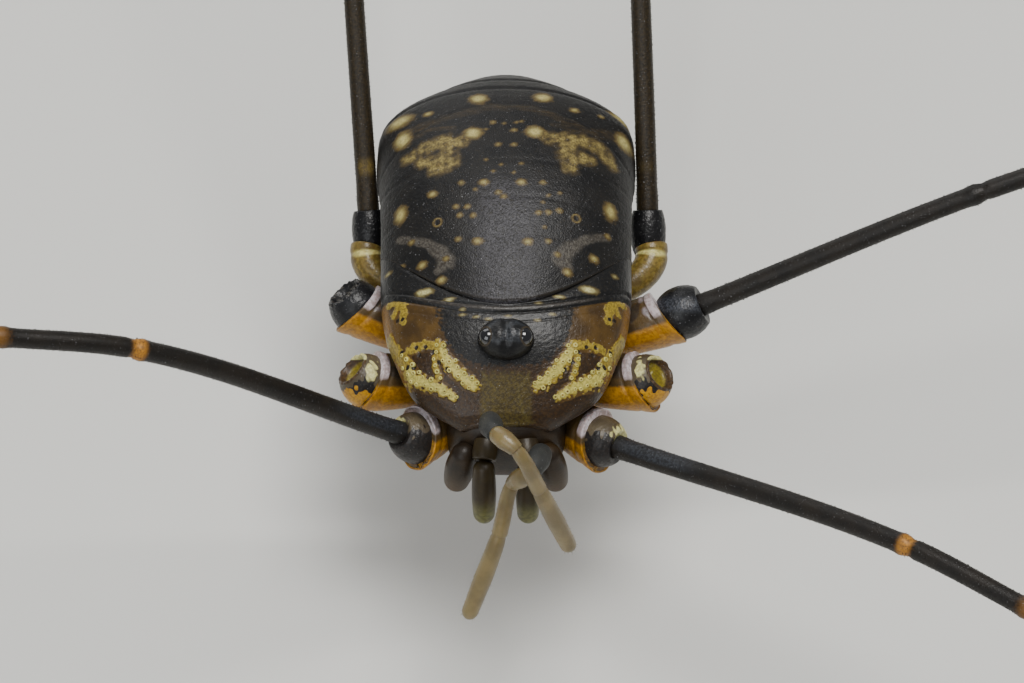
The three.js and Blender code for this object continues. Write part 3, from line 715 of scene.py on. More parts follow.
def band_granules(count=6000, gap=0.088):
    """Places strewn at random over the bands, each kept if it lies in one and no kept one is nearer than
    the gap."""
    rng = np.random.default_rng(12)
    x, y = rng.uniform(0.3, 1.72, count), rng.uniform(-0.75, 0.3, count)
    inside = near_lines(x, y, (inner_band, outer_band[2:], bridge)) > 0.05
    kept = []
    for place in np.stack([x, y], -1)[inside]:
        if all(np.hypot(*(place - other)) > gap for other in kept):
            kept.append(place)
    kept = np.array(kept)
    return np.concatenate([kept, kept * [-1, 1]])


def surface_frames(places, height_of, size):
    """Upright frames on a surface given by its height: the normal is the cross product of its two slopes."""
    x, y = places.T
    z = height_of(x, y)
    d = 0.01
    slope_x = (height_of(x + d, y) - height_of(x - d, y)) / (2 * d)
    slope_y = (height_of(x, y + d) - height_of(x, y - d)) / (2 * d)
    normal = np.stack([-slope_x, -slope_y, np.ones(len(x))], -1)
    normal /= np.linalg.norm(normal, axis=-1, keepdims=True)
    side = np.stack([np.ones(len(x)), np.zeros(len(x)), slope_x], -1)
    side /= np.linalg.norm(side, axis=-1, keepdims=True)
    forward = np.cross(normal, side)
    return np.stack([x, y, z], -1), side * size, forward * size, normal * size


granule_places = band_granules()
granule_points, granule_faces = bead_shape(
    (-1.6, (1.15, -1.2), (1.0, 0.25), (0.72, 0.62), (0.42, 0.35), 0.05), 10
)
granule_cuticle = cuticle(
    "granule_cuticle",
    (0.62, 0.57, 0.18), (0.45, 0.41, 0.11), 0.35, 0.02, 0.001,
    [("pit", (0.30, 0.20, 0.03), (0.11, 0.07, 0.015), 0.2, 0.8)],
)
granule_sizes = np.random.default_rng(4).uniform(0.026, 0.040, (len(granule_places), 1))
granules = joined(
    "carapace_granules",
    granule_points,
    granule_faces,
    surface_frames(granule_places, lambda x, y: carapace_top(x, y) + 0.006, granule_sizes),
    granule_places / 4 + 0.5,
    granule_cuticle,
    {"pit": np.r_[np.repeat([0, 0, 0, 0.6], 10), 0, 1]},
)


# Eye mound: a black turret astride the carapace, grooved down its middle, with one glossy eye on each flank
# held in a raised rim.
MOUND_CENTRE = np.array([0.0, 0.09, LIFT + 2.58])
MOUND_HALF = np.array([0.43, 0.325, 0.335])
EYE_CENTRE = np.array([0.27, 0.04, LIFT + 2.71])
EYE_RADIUS = 0.152


def ball_grid(rows, columns, cap=0.02):
    """Unit directions over a ball, from pole to pole along z."""
    down = np.linspace(cap, np.pi - cap, rows)[:, None]
    round_ = np.linspace(0, 2 * np.pi, columns, endpoint=False)[None, :]
    whole = np.ones_like(round_)
    return np.stack([np.sin(down) * np.cos(round_), np.sin(down) * np.sin(round_), np.cos(down) * whole], -1)


def mound_skin():
    """A ball with three radii, with a furrow along y over its top and a rim round each eye."""
    way = ball_grid(70, 110)
    shape = MOUND_CENTRE + way * MOUND_HALF
    furrow = 0.04 * np.exp(-((shape[..., 0] / 0.07) ** 2)) * np.clip(way[..., 2], 0, 1)
    rim = 0
    for side in (1, -1):
        gap = np.linalg.norm(shape - EYE_CENTRE * [side, 1, 1], axis=-1)
        rim = rim + 0.012 * np.exp(-(((gap - EYE_RADIUS) / 0.02) ** 2))
    height = 0.006 * pebbles(shape, 0.05, 6) - furrow + rim
    # top: painted sheen, a blue-grey painted highlight in patches over the mound's upper faces
    top = step_between(way[..., 2], 0.35, 0.8) * clouds(shape, 0.2, 9)
    return shape + way * height[..., None], dict(top=top, rim=np.clip(rim / 0.012, 0, 1))


mound_shell = cuticle(
    "mound_shell",
    (0.0055, 0.0055, 0.0060), (0.0090, 0.0090, 0.0095), 0.42, 0.022, 0.004,
    [
        # top: painted sheen over the mound's upper faces
        ("top", (0.036, 0.040, 0.046), (0.012, 0.013, 0.015), 0.25, 0.8),
        ("rim", (0.060, 0.044, 0.026), (0.030, 0.024, 0.016), 0.5, 1.0),
    ],
    speckle=0.03,
    coat=0.1,
)
mound_grid, mound_paints = mound_skin()
skin("eye_mound_skin", mound_grid, mound_paints, ["eye_mound"], mound_shell)

eye_lens = bpy.data.materials.new("eye_lens")
eye_lens.use_nodes = True
lens_look = eye_lens.node_tree.nodes["Principled BSDF"].inputs
lens_look["Base Color"].default_value = (0.006, 0.006, 0.008, 1)
lens_look["Roughness"].default_value = 0.05
lens_look["Coat Weight"].default_value = 1.0
lens_look["Coat Roughness"].default_value = 0.02
for side_name, side in (("left", 1), ("right", -1)):
    way = ball_grid(40, 60)
    bulge = EYE_RADIUS * (1 + 0.04 * np.clip(way[..., :1] * side, 0, 1) ** 2)
    lens_grid = EYE_CENTRE * [side, 1, 1] + way * bulge
    skin(f"{side_name}_eye_lens", lens_grid, None, [f"{side_name}_eye"], eye_lens)


# Leg bases: eight coxae, stout tubes packed side by side round the breastplate. The first three pairs are
# smoky brown above and ochre below, with a thin pale lip over the mouth that holds the trochanter. The last
# pair is dull gold with a cream band.
PAIRS = {
    1: dict(root=(0.4, 0.22, 0.62), hip=(1.4, -0.64, 0.95), mouth=0.56, half=0.47, girth=0.42),
    2: dict(root=(0.5, 0.6, 0.62), hip=(2.15, 0.28, 1.15), mouth=0.56, half=0.49, girth=0.44),
    3: dict(root=(0.55, 1.08, 0.62), hip=(2.32, 1.64, 1.2), mouth=0.54, half=0.5, girth=0.44),
    4: dict(root=(0.6, 1.62, 0.65), hip=(2.14, 3.05, 1.3), mouth=0.42, half=0.5, girth=0.3),
}
LEFT_HIPS = {1: (1.46, -0.66, 0.9), 3: (2.76, 1.55, 1.22), 4: (2.23, 3.05, 1.3)}
ROOT_RADIUS = 0.2
MOUTH_SETBACKS = {("left", 3): 0.40}  # mm from a hip back to its mouth, where it isn't the usual
MOUTH_SETBACK = 0.15
LIP_INSET = 0.08  # mm, the lip's thinness beside the solid's mouth
LAST_MOUTH_INSET = 0.08  # mm, more for the last pair, whose knob is narrow
LOWER_LIP = 0.30  # mm, how far the underside of the mouth reaches on
COXA_ROWS = 110
# Past a coxa's mouth, as (mm on along it, share of the mouth's radius): the lip rolls in to the sunken floor.
LIP_STEPS = ((0.012, 0.985), (0.016, 0.955), (0.010, 0.92), (-0.02, 0.88), (-0.05, 0.6))
SIDES = {"left": 1, "right": -1}


def unit(v):
    return np.asarray(v, float) / np.linalg.norm(v)


def hip_of(side_name, pair):
    x, y, z = LEFT_HIPS.get(pair, PAIRS[pair]["hip"]) if side_name == "left" else PAIRS[pair]["hip"]
    return np.array([SIDES[side_name] * x, y, LIFT + z])


def tube_axes(path, upright=(0, 0, 1)):
    """At each point of a path its direction, and the level and the raised axis across it."""
    way = np.gradient(path, axis=0)
    way /= np.linalg.norm(way, axis=-1, keepdims=True)
    level = np.cross(way, upright)
    level /= np.linalg.norm(level, axis=-1, keepdims=True)
    return way, level, np.cross(level, way)


def tube(path, radius, columns=24, upright=(0, 0, 1)):
    """A tube along a path: at each point a ring across the path's direction, its radius given per point or
    per point and column. The ring starts level and turns through up."""
    path = np.asarray(path, float)
    _, level, above = tube_axes(path, upright)
    turn = np.linspace(0, 2 * np.pi, columns, endpoint=False)
    radius = np.asarray(radius, float)
    radius = radius[:, None] if radius.ndim == 1 else radius
    ring = level[:, None] * np.cos(turn)[None, :, None] + above[:, None] * np.sin(turn)[None, :, None]
    return path[:, None] + ring * radius[..., None]


def bend(start, end, leave, arrive, stiffness=0.34, count=60):
    """A cubic Bezier curve between two joints, leaving and arriving along given directions."""
    reach = np.linalg.norm(end - start) * stiffness
    t = np.linspace(0, 1, count)[:, None]
    a, b = start + leave * reach, end - arrive * reach
    return (1 - t) ** 3 * start + 3 * t * (1 - t) ** 2 * a + 3 * t * t * (1 - t) * b + t**3 * end


def up_slope(points, centre):
    """How far points lie above a centre along a line that rises backwards at about 35 degrees: across the
    slope in which the bands of the leg bases run."""
    return 0.82 * (points[..., 1] - centre[1]) + 0.57 * (points[..., 2] - centre[2])


coxa_shell = cuticle(
    "coxa_shell",
    (0.100, 0.062, 0.022), (0.055, 0.034, 0.014), 0.38, 0.025, 0.004,
    [
        ("smoke", (0.036, 0.026, 0.018), (0.055, 0.040, 0.026), 0.4, 1.0),
        ("ochre", (0.48, 0.225, 0.006), (0.33, 0.145, 0.005), 0.25, 0.8),
        ("gold", (0.24, 0.170, 0.036), (0.13, 0.090, 0.020), 0.25, 0.8),
        ("lilac", (0.24, 0.205, 0.210), (0.15, 0.120, 0.115), 0.3, 0.9),
        ("lip", (0.56, 0.485, 0.500), (0.36, 0.290, 0.280), 0.30, 0.8),
        ("cream", (0.66, 0.60, 0.22), (0.44, 0.38, 0.12), 0.30, 0.8),
    ],
    coat=0.25,
    glow=0.08,
)


def coxa_skin(side_name, pair):
    """A tube that widens from its root to its mouth, where a thin lip rolls in to a sunken floor. In the
    first three pairs the mouth's underside reaches on below the knob; the last bends back into line with
    its leg."""
    form = PAIRS[pair]
    root = np.array([SIDES[side_name] * form["root"][0], form["root"][1], LIFT + form["root"][2]])
    hip = hip_of(side_name, pair)
    axis = unit(hip - root)
    if pair == 4:
        axis = unit(axis + [-1.4 * axis[0], 0.9, 0.2])
    mouth = hip - axis * MOUTH_SETBACKS.get((side_name, pair), MOUTH_SETBACK + 0.12 * (pair == 4))
    length = np.linalg.norm(mouth - root)
    wide = form["mouth"] - LIP_INSET - (LAST_MOUTH_INSET if pair == 4 else 0)
    lip_along, lip_share = np.array(LIP_STEPS).T
    t = np.concatenate([np.linspace(0, 1, COXA_ROWS), 1 + lip_along / length])
    radius = ROOT_RADIUS + (wide - ROOT_RADIUS) * np.minimum(t, 1) ** 0.85
    behind = (1 - t) * length
    radius = radius - 0.014 * np.exp(-(((behind - 0.12) / 0.03) ** 2))
    radius[COXA_ROWS:] = wide * lip_share
    path = bend(root, mouth, unit(hip - root), axis, 0.34, COXA_ROWS)
    path = np.concatenate([path, mouth + axis * (t[COXA_ROWS:, None] - 1) * length])
    grid = tube(path, radius, 120)
    outward = grid - path[:, None]
    outward /= np.maximum(np.linalg.norm(outward, axis=-1, keepdims=True), 1e-6)
    rise = up_slope(outward, np.zeros(3))
    if pair < 4:
        reach = LOWER_LIP * np.clip(0.5 - 0.6 * rise, 0, 1) ** 1.5 * np.minimum(t, 1)[:, None] ** 4
        grid = grid + axis * reach[..., None]
    high = step_between(rise, -0.15, 0.30)
    near_lip = step_between(-behind, -0.11, -0.085)[:, None]
    smoke = step_between(clouds(grid, 0.5, 20 + pair), 0.45, 0.7) * high
    ochre = 1 - step_between(rise, -0.35, 0.05)
    lilac = np.exp(-(((behind - 0.15) / 0.07) ** 2))[:, None] * clouds(grid, 0.3, 70 + pair)
    lilac = lilac * high * (pair == 3)
    last = float(pair == 4)
    cream = last * np.exp(-(((behind - 0.16) / 0.07) ** 2))[:, None] * step_between(rise, -0.2, 0.3)
    paints = dict(
        smoke=smoke * (1 - last),
        ochre=ochre * (1 - last),
        gold=last * (1 - 0.5 * clouds(grid, 0.4, 6)),
        lilac=1.2 * lilac,
        lip=near_lip * high * (0.7 + 0.5 * clouds(grid, 0.3, pair)) * (1 - last),
        cream=cream,
    )
    relief = 0.003 * pebbles(grid, 0.07, pair) * (behind > 0.12)[:, None]
    return grid + outward * relief[..., None], paints


for side_name in SIDES:
    for pair in PAIRS:
        grid, paints = coxa_skin(side_name, pair)
        skin(f"{side_name}_leg_{pair}_coxa_skin", grid, paints, [f"{side_name}_leg_{pair}_coxa"], coxa_shell)


# Trochanters: knobs set in the mouths of the coxae. The first is smoky brown with a cream mark and dark
# below, the second is orange below as well, and the last two are black. Three legs were shed here, and
# those knobs end in a round socket.
HIP_FACE = 0.34
LEG_BASES = {
    "left": {1: (59, 13), 3: (101.5, 22), 4: (181.7, 35)},
    "right": {1: (79, 40), 4: (175, 36)},
}
SHED = {"left": {2: (90, 45)}, "right": {2: (110, 42), 3: (125, 40)}}
# Out and up the slope from the hip, with half-sizes, mm: the cream mark of each knob of the first two pairs.
CREAM_MARKS = {
    ("left", 1): (0.34, 0.10, 0.15, 0.15),
    ("right", 1): (0.30, 0.27, 0.15, 0.06),
    ("left", 2): (-0.07, 0.19, 0.07, 0.15),
    ("right", 2): (-0.07, 0.17, 0.075, 0.15),
}


def heading(side, bearing, rise):
    """The unit direction of a bearing, from straight ahead round to the leg's own side, and a rise above
    level."""
    b, r = np.radians(bearing), np.radians(rise)
    return np.array([side * np.sin(b) * np.cos(r), -np.cos(b) * np.cos(r), np.sin(r)])


brown_knob = cuticle(
    "brown_knob",
    (0.100, 0.078, 0.046), (0.062, 0.047, 0.028), 0.42, 0.022, 0.004,
    [
        ("orange", (0.55, 0.275, 0.004), (0.38, 0.175, 0.004), 0.3, 0.7),
        ("dark", (0.0090, 0.0080, 0.0080), (0.017, 0.013, 0.011), 0.25, 0.7),
        ("cream", (0.66, 0.64, 0.28), (0.48, 0.44, 0.17), 0.3, 0.7),
        ("floor", (0.235, 0.185, 0.014), (0.160, 0.120, 0.012), 0.3, 0.7),
        ("fold", (0.075, 0.040, 0.014), (0.036, 0.020, 0.009), 0.3, 0.8),
        ("scar", (0.50, 0.46, 0.22), (0.33, 0.29, 0.12), 0.35, 0.8),
    ],
    speckle=0.04,
    painted_glints=0.04,
    coat=0.12,
)
black_knob = cuticle(
    "black_knob",
    (0.0058, 0.0058, 0.0066), (0.0095, 0.0095, 0.0105), 0.36, 0.022, 0.005,
    [
        # painted sheen: a blue-grey painted highlight over the knob's upper side
        ("painted_sheen", (0.046, 0.050, 0.060), (0.014, 0.015, 0.018), 0.3, 0.9),
        ("scar", (0.080, 0.073, 0.062), (0.040, 0.036, 0.030), 0.4, 0.9),
    ],
    speckle=0.035,
    painted_glints=0.07,
    coat=0.10,
)


# Past the knob's face, as (rise along the leg in mm, share of the face's radius): a shed leg's bowl, or a
# collar.
SOCKET_STEPS = (
    (0.010, 0.98), (0.022, 0.93), (0.020, 0.86), (0.0, 0.80), (-0.05, 0.74),
    (-0.10, 0.66), (-0.12, 0.5), (-0.125, 0.25), (-0.12, 0.05),
)
COLLAR_STEPS = ((0.004, 0.95), (0.0, 0.86), (-0.01, 0.70), (-0.03, 0.55), (-0.05, 0.3), (-0.05, 0.05))


def unit_rows(v):
    return v / np.maximum(np.linalg.norm(v, axis=-1, keepdims=True), 1e-9)


def knob_skin(hip, way, form, shed, pair):
    """A turned knob about the leg's direction: half an oval's profile up to its face, squarer on the last
    pair, then either a low collar round the thigh's neck or, where the leg was shed, folds round a sunken
    bowl."""
    turned = np.linspace(np.pi * 0.985, np.arccos(HIP_FACE / form["half"]), 60)
    fullness = 0.62 if pair == 4 else 1.0
    half, girth = form["half"] - SKIN_DEPTH, form["girth"] - SKIN_DEPTH
    profile = np.stack([half * np.cos(turned), girth * np.sin(turned) ** fullness], -1)
    rim = profile[-1, 1]
    steps = SOCKET_STEPS if shed else COLLAR_STEPS
    extra = np.array([(HIP_FACE - 0.01 + rise, rim * share) for rise, share in steps])
    profile = np.concatenate([profile, extra])
    fine = np.linspace(0, len(profile) - 1, 150)
    along, radial = (np.interp(fine, np.arange(len(profile)), column) for column in profile.T)
    level = unit(np.cross(way, (0, 0, 1)))
    above = np.cross(level, way)
    turn = np.linspace(0, 2 * np.pi, 120, endpoint=False)
    ring = level * np.cos(turn)[:, None] + above * np.sin(turn)[:, None]
    grid = hip + along[:, None, None] * way + radial[:, None, None] * ring
    whole = np.ones(grid.shape[:2])
    inside = step_between(fine, 63, 66)[:, None] * whole * shed
    collar = step_between(fine, 58, 60)[:, None] * whole - inside if shed else 0 * whole
    folds = 0.006 * np.cos(11 * turn + 6 * clouds(grid, 0.4, pair)) * collar
    depth = 0.05 if pair == 3 else 0.012
    rough = depth * (clouds(grid, 0.11, 50 + pair) - 0.5) * np.maximum(inside, collar)
    relief = 0.005 * pebbles(grid, 0.06, pair) * (1 - inside) + rough + folds
    grid = grid + unit_rows(grid - hip) * relief[..., None]
    return grid, inside, collar, turn[None, :] * whole


for side_name, side in SIDES.items():
    for pair, form in PAIRS.items():
        shed = pair in SHED[side_name]
        way = heading(side, *(SHED if shed else LEG_BASES)[side_name][pair])
        hip = hip_of(side_name, pair)
        grid, inside, collar, turn = knob_skin(hip, way, form, shed, pair)
        name = f"{side_name}_leg_{pair}_trochanter"
        out, up = side * (grid[..., 0] - hip[0]), up_slope(grid, hip)
        wander = clouds(grid, 0.13, 40 + pair) - 0.5
        if pair > 2:
            # Painted sheen: a painted highlight along the upper side of the third pair's knobs, halved where
            # the leg was shed.
            painted_sheen = np.exp(-(((up - 0.12) / 0.16) ** 2)) * (pair == 3) * (1 - inside) * (0.5 if shed else 1)
            scar = np.clip(collar + inside, 0, 1) * step_between(clouds(grid * [1, 2, 1], 0.12, 3), 0.5, 0.7)
            skin(f"{name}_skin", grid, dict(painted_sheen=painted_sheen, scar=scar), [name], black_knob)
            continue
        x, y, half_x, half_y = CREAM_MARKS[side_name, pair]
        cream = np.clip(1.5 - np.hypot((out - x) / half_x, (up - y) / half_y) + wander, 0, 1)
        if pair == 2:
            floor_line = -0.12 + 0.76 * np.minimum(out, 0)
            roof_line = 0.11 - 0.72 * np.maximum(out, 0) + 0.62 * np.minimum(out, 0)
            orange = step_between(floor_line - up + 0.15 * wander, -0.02, 0.04)
            dark = step_between(roof_line - up + 0.2 * wander, -0.02, 0.04) * step_between(out, -0.36, -0.28)
        else:
            dark = step_between(0.10 - 0.10 * out - up + 0.25 * wander, -0.04, 0.04)
            orange = 0 * up
        keep = 1 - np.clip(inside + collar, 0, 1)
        arc = np.exp(-((np.hypot(out - 0.30 * way[0] * side, up - 0.05) - 0.14) / 0.02) ** 2)
        arc = arc * step_between(-turn, -3.4, -2.6)
        paints = dict(
            orange=orange * keep,
            dark=dark * (1 - orange) * keep,
            cream=np.maximum(cream * keep, collar * step_between(up, 0.30, 0.38)),
            floor=inside,
            fold=collar * (1 - step_between(up, 0.30, 0.38)),
            scar=arc * inside,
        )
        skin(f"{name}_skin", grid, paints, [name], brown_knob)


# Legs: five are left. Each is a thin stiff tube, near black and brown, in five lengths: a thigh with a
# false joint part way out, orange on the first pair; a short knee; a shin; a long metatarsus; and a tarsus
# of many joints.
LENGTHS = {
    1: dict(base=5.1, femur=7.4, patella=1.0, tibia=5.6, metatarsus=8.4, tarsus=9.5),
    3: dict(base=4.6, femur=7.6, patella=1.0, tibia=5.4, metatarsus=8.8, tarsus=9.0),
    4: dict(base=7.2, femur=11.0, patella=1.2, tibia=7.4, metatarsus=11.5, tarsus=11.0),
}
STANCE = {
    "left": {
        1: dict(femur=(54, 6), patella=(56, -8), tibia=(58, -20), tarsus=52),
        3: dict(femur=(101, 16), patella=(101, 0), tibia=(104, -38), tarsus=112),
        4: dict(femur=(177, 33), patella=(176, 2), tibia=(173, -35), tarsus=166),
    },
    "right": {
        1: dict(femur=(80, 22), patella=(80, -8), tibia=(78, -40), tarsus=70),
        4: dict(femur=(174, 33), patella=(173, 2), tibia=(171, -35), tarsus=164),
    },
}
SOLID_GAP = 0.1  # mm, between one solid and the next
ANKLE = 0.62  # mm, height of the heel over the floor
SOLE = 0.2  # mm, height of the solid foot's centre line
THIGH_ROOT = 0.22  # mm, from the hip's centre out to the thigh's root, inside the knob
THIGH_RADIUS = {1: 0.176, 3: 0.168, 4: 0.165}  # mm
LEG_COLUMNS = 24


def even(path, count):
    """The same path with its points evenly spaced along it."""
    run = np.concatenate([[0], np.cumsum(np.linalg.norm(np.diff(path, axis=0), axis=-1))])
    at = np.linspace(0, run[-1], count)
    return np.stack([np.interp(at, run, path[:, i]) for i in range(3)], -1)


def leg_paths(side_name, pair):
    """The centre lines of a leg's lengths, joint by joint from the hip, as the solids have them."""
    side, size, pose = SIDES[side_name], LENGTHS[pair], STANCE[side_name][pair]
    hip = hip_of(side_name, pair)
    out = heading(side, *LEG_BASES[side_name][pair])
    thigh, shin = heading(side, *pose["femur"]), heading(side, *pose["tibia"])
    base = hip + out * (HIP_FACE + SOLID_GAP)
    node = base + out * size["base"]
    knee = node + thigh * (size["femur"] - size["base"])
    knee_end = knee + heading(side, *pose["patella"]) * size["patella"]
    ankle = knee_end + shin * size["tibia"]
    drop = np.degrees(np.arcsin((ankle[2] - ANKLE) / size["metatarsus"]))
    down = heading(side, pose["tibia"][0], -drop)
    heel = ankle + down * size["metatarsus"]
    turned = unit(out + thigh)
    femur = np.concatenate([bend(base, node, out, turned), bend(node, knee, turned, thigh)[1:]])
    flat = heading(side, pose["tarsus"], 0)
    level = np.array([1, 1, 0])
    touch = (heel + flat * 0.16 * size["tarsus"]) * level + [0, 0, SOLE]
    tip = touch + heading(side, pose["tarsus"] + 8, 0) * 0.84 * size["tarsus"]
    tarsus = np.concatenate([
        bend(heel, touch, down, flat, 0.4),
        bend(touch, tip, flat, unit(tip - touch - flat * 0.4 * size["tarsus"]), 0.34)[1:],
    ])
    return dict(
        femur=np.concatenate([[hip + out * THIGH_ROOT], femur]),
        patella=bend(knee, knee_end, thigh, shin, 0.4),
        tibia=bend(knee_end, ankle, shin, shin),
        metatarsus=bend(ankle, heel, shin, down, 0.3),
        tarsus=tarsus,
    )


leg_shell = cuticle(
    "leg_shell",
    (0.0125, 0.0098, 0.0074), (0.0070, 0.0060, 0.0052), 0.45, 0.022, 0.004,
    [
        ("brown", (0.028, 0.019, 0.008), (0.015, 0.011, 0.006), 0.3, 0.9),
        ("pale", (0.46, 0.20, 0.022), (0.24, 0.105, 0.016), 0.25, 1.0),
        ("streak", (0.115, 0.080, 0.018), (0.065, 0.045, 0.014), 0.2, 0.9),
        # painted sheen: a blue-grey painted highlight on the thighs' upper side
        ("painted_blue_sheen", (0.034, 0.037, 0.044), (0.015, 0.016, 0.018), 0.3, 0.9),
    ],
    speckle=0.04,
    painted_glints=0.06,
)


def segment_radius(part, pair, t):
    """Half the thickness along a length of leg: a waist at each joint, a slow taper, and a swelling at its
    end."""
    full = THIGH_RADIUS[pair]
    if part == "femur":
        share = LENGTHS[pair]["base"] / LENGTHS[pair]["femur"]
        neck = 0.92 + 0.14 * step_between(t, 0.0, 0.012) - 0.06 * step_between(t, 0.02, 0.05)
        node = 0.10 * np.exp(-(((t - share) / 0.012) ** 2))
        node = node - 0.10 * np.exp(-(((t - share - 0.022) / 0.008) ** 2))
        return full * (neck * (1 - 0.16 * t) + node + 0.14 * np.exp(-(((t - 0.985) / 0.015) ** 2)))
    if part == "patella":
        return full * (0.80 + 0.16 * np.sin(np.pi * t) + 0.10 * t - 0.2 * np.exp(-(((t - 0.03) / 0.05) ** 2)))
    if part == "tibia":
        swell = 0.12 * np.exp(-(((t - 0.1) / 0.1) ** 2)) + 0.16 * np.exp(-(((t - 0.97) / 0.03) ** 2))
        return full * (0.70 + swell - 0.08 * t)
    if part == "metatarsus":
        return full * (0.60 - 0.14 * t + 0.08 * np.exp(-(((t - 0.985) / 0.02) ** 2)))
    joints = 0.10 * (0.5 + 0.5 * np.cos(2 * np.pi * t * 42)) * step_between(t, 0.02, 0.05)
    return full * (0.46 - 0.20 * t) * (1 + joints) * (1 - step_between(t, 0.985, 1.0) * 0.5)


SEGMENT_ROWS = dict(femur=300, patella=60, tibia=160, metatarsus=160, tarsus=520)


def ground(path, part, radius):
    """A foot's centre line brought down so that the thin foot lies on the floor as the thick solid does."""
    if part != "tarsus":
        return path
    lowered = path.copy()
    lowered[:, 2] = np.maximum(path[:, 2] - step_between(-path[:, 2], -ANKLE, -SOLE) * SOLE, radius)
    return lowered


leg_lines = {}
for side_name in SIDES:
    for pair in LEG_BASES[side_name]:
        for part, line in leg_paths(side_name, pair).items():
            path = even(line, SEGMENT_ROWS[part])
            t = np.linspace(0, 1, len(path))
            radius = segment_radius(part, pair, t)
            path = ground(path, part, radius)
            leg_lines[side_name, pair, part] = path, radius
            grid = tube(path, radius, LEG_COLUMNS)
            top = np.sin(np.linspace(0, 2 * np.pi, LEG_COLUMNS, endpoint=False))[None, :]
            run = t * LENGTHS[pair][part]
            share = LENGTHS[pair]["base"] / LENGTHS[pair]["femur"]
            thigh = float(part == "femur")
            pale = np.exp(-(((t - share - 0.012) / 0.020) ** 2)) * (pair == 1)
            pale = pale + 0.6 * step_between(t, 0.93, 1.0) * (pair == 1)
            streak = np.exp(-(((run - 0.78) / 0.16) ** 2))[:, None]
            streak = streak * step_between(top, 0.3, 0.9) * (pair == 4)
            # Painted sheen: a blue-grey painted highlight along the top of the first pair's thighs near their
            # roots.
            painted_blue_sheen = np.exp(-(((run - 0.8) / 0.9) ** 2))[:, None] * step_between(top, 0.2, 0.8) * (pair == 1)
            paints = dict(
                brown=(0.7 * thigh * (pair == 4) + 0.4) * np.ones(grid.shape[:2]),
                pale=thigh * pale[:, None] * np.ones((1, LEG_COLUMNS)),
                streak=thigh * streak * (0.9 if side_name == "right" else 0.45),
                painted_blue_sheen=thigh * painted_blue_sheen,
            )
            name = f"{side_name}_leg_{pair}_{part}"
            skin(f"{name}_skin", grid, paints, [name], leg_shell)


# Teeth and bristles of the legs: rows of tiny blunt teeth down the thighs, fine bristles that lean towards
# the foot on the other lengths, and a hooked claw on each foot. Each kind of tooth or bristle is one mesh
# of many copies.
def strewn(lines, spacing, rows, lean, length, thickness, seed):
    """Places in rows round and down some tubes, each jittered: the way from the tube's middle line, leaned
    over towards its end by an angle. Each also gets its place on an unwrap, round by down the tube."""
    rng = np.random.default_rng(seed)
    frames, spots = [], []
    for k, (path, radius) in enumerate(lines):
        run = np.concatenate([[0], np.cumsum(np.linalg.norm(np.diff(path, axis=0), axis=-1))])
        count = max(int(run[-1] / spacing), 1)
        at = (np.arange(count)[:, None] + rng.uniform(0, 1, (count, rows))) / count
        at = 0.02 + 0.96 * at.ravel()
        turn = np.tile(2 * np.pi * np.arange(rows) / rows, count) + rng.uniform(-0.15, 0.15, count * rows)
        centre, way, level, above = (
            np.stack([np.interp(at * run[-1], run, a[:, i]) for i in range(3)], -1)
            for a in (path, *tube_axes(path))
        )
        wide = np.interp(at * run[-1], run, radius)[:, None]
        out = level * np.cos(turn)[:, None] + above * np.sin(turn)[:, None]
        up = unit_rows(out * np.cos(lean) + way * np.sin(lean))
        side = unit_rows(np.cross(way, out))
        size = rng.uniform(0.75, 1.2, (len(at), 1))
        forward = np.cross(up, side) * thickness
        frames.append((centre + out * wide * 0.94, side * thickness, forward, up * length * size))
        spots.append(np.stack([turn / (2 * np.pi) % 1, (k + at) / len(lines)], -1) * 0.99)
    return [np.concatenate(column) for column in zip(*frames)], np.concatenate(spots)


tooth_shape = bead_shape((-0.6, (1.0, -0.3), (0.6, 0.5), 1.0), 4)
hair_shape = bead_shape((-0.1, (1.0, 0.0), (0.6, 0.55), 1.0), 3)
for name, shape, parts, slot, strewing in (
    ("thigh_teeth", tooth_shape, ("femur",), "femur", (0.055, 8, 0.5, 0.030, 0.011, 1)),
    ("shin_bristles", hair_shape, ("patella", "tibia"), "tibia", (0.10, 8, 0.9, 0.11, 0.0045, 2)),
    ("foot_bristles", hair_shape, ("metatarsus", "tarsus"), "tarsus", (0.12, 8, 1.0, 0.075, 0.0035, 3)),
):
    lines = [line for key, line in leg_lines.items() if key[2] in parts]
    joined(name, *shape, *strewn(lines, *strewing), leg_shell)

hook = np.linspace(0, 1, 24)[:, None]
for (side_name, pair, part), (path, radius) in leg_lines.items():
    if part != "tarsus":
        continue
    tip, way = path[-1], unit(path[-1] - path[-6])
    claw_path = tip - way * 0.03 + way * 0.16 * hook + np.array([0, 0, 0.05]) * np.sin(np.pi * hook)
    claw_path = claw_path - [0, 0, 0.012] * hook
    claw_radius = 0.022 * (1.02 - hook[:, 0])
    claw = skin(f"{side_name}_leg_{pair}_claw", tube(claw_path, claw_radius, 10), None, (), leg_shell)


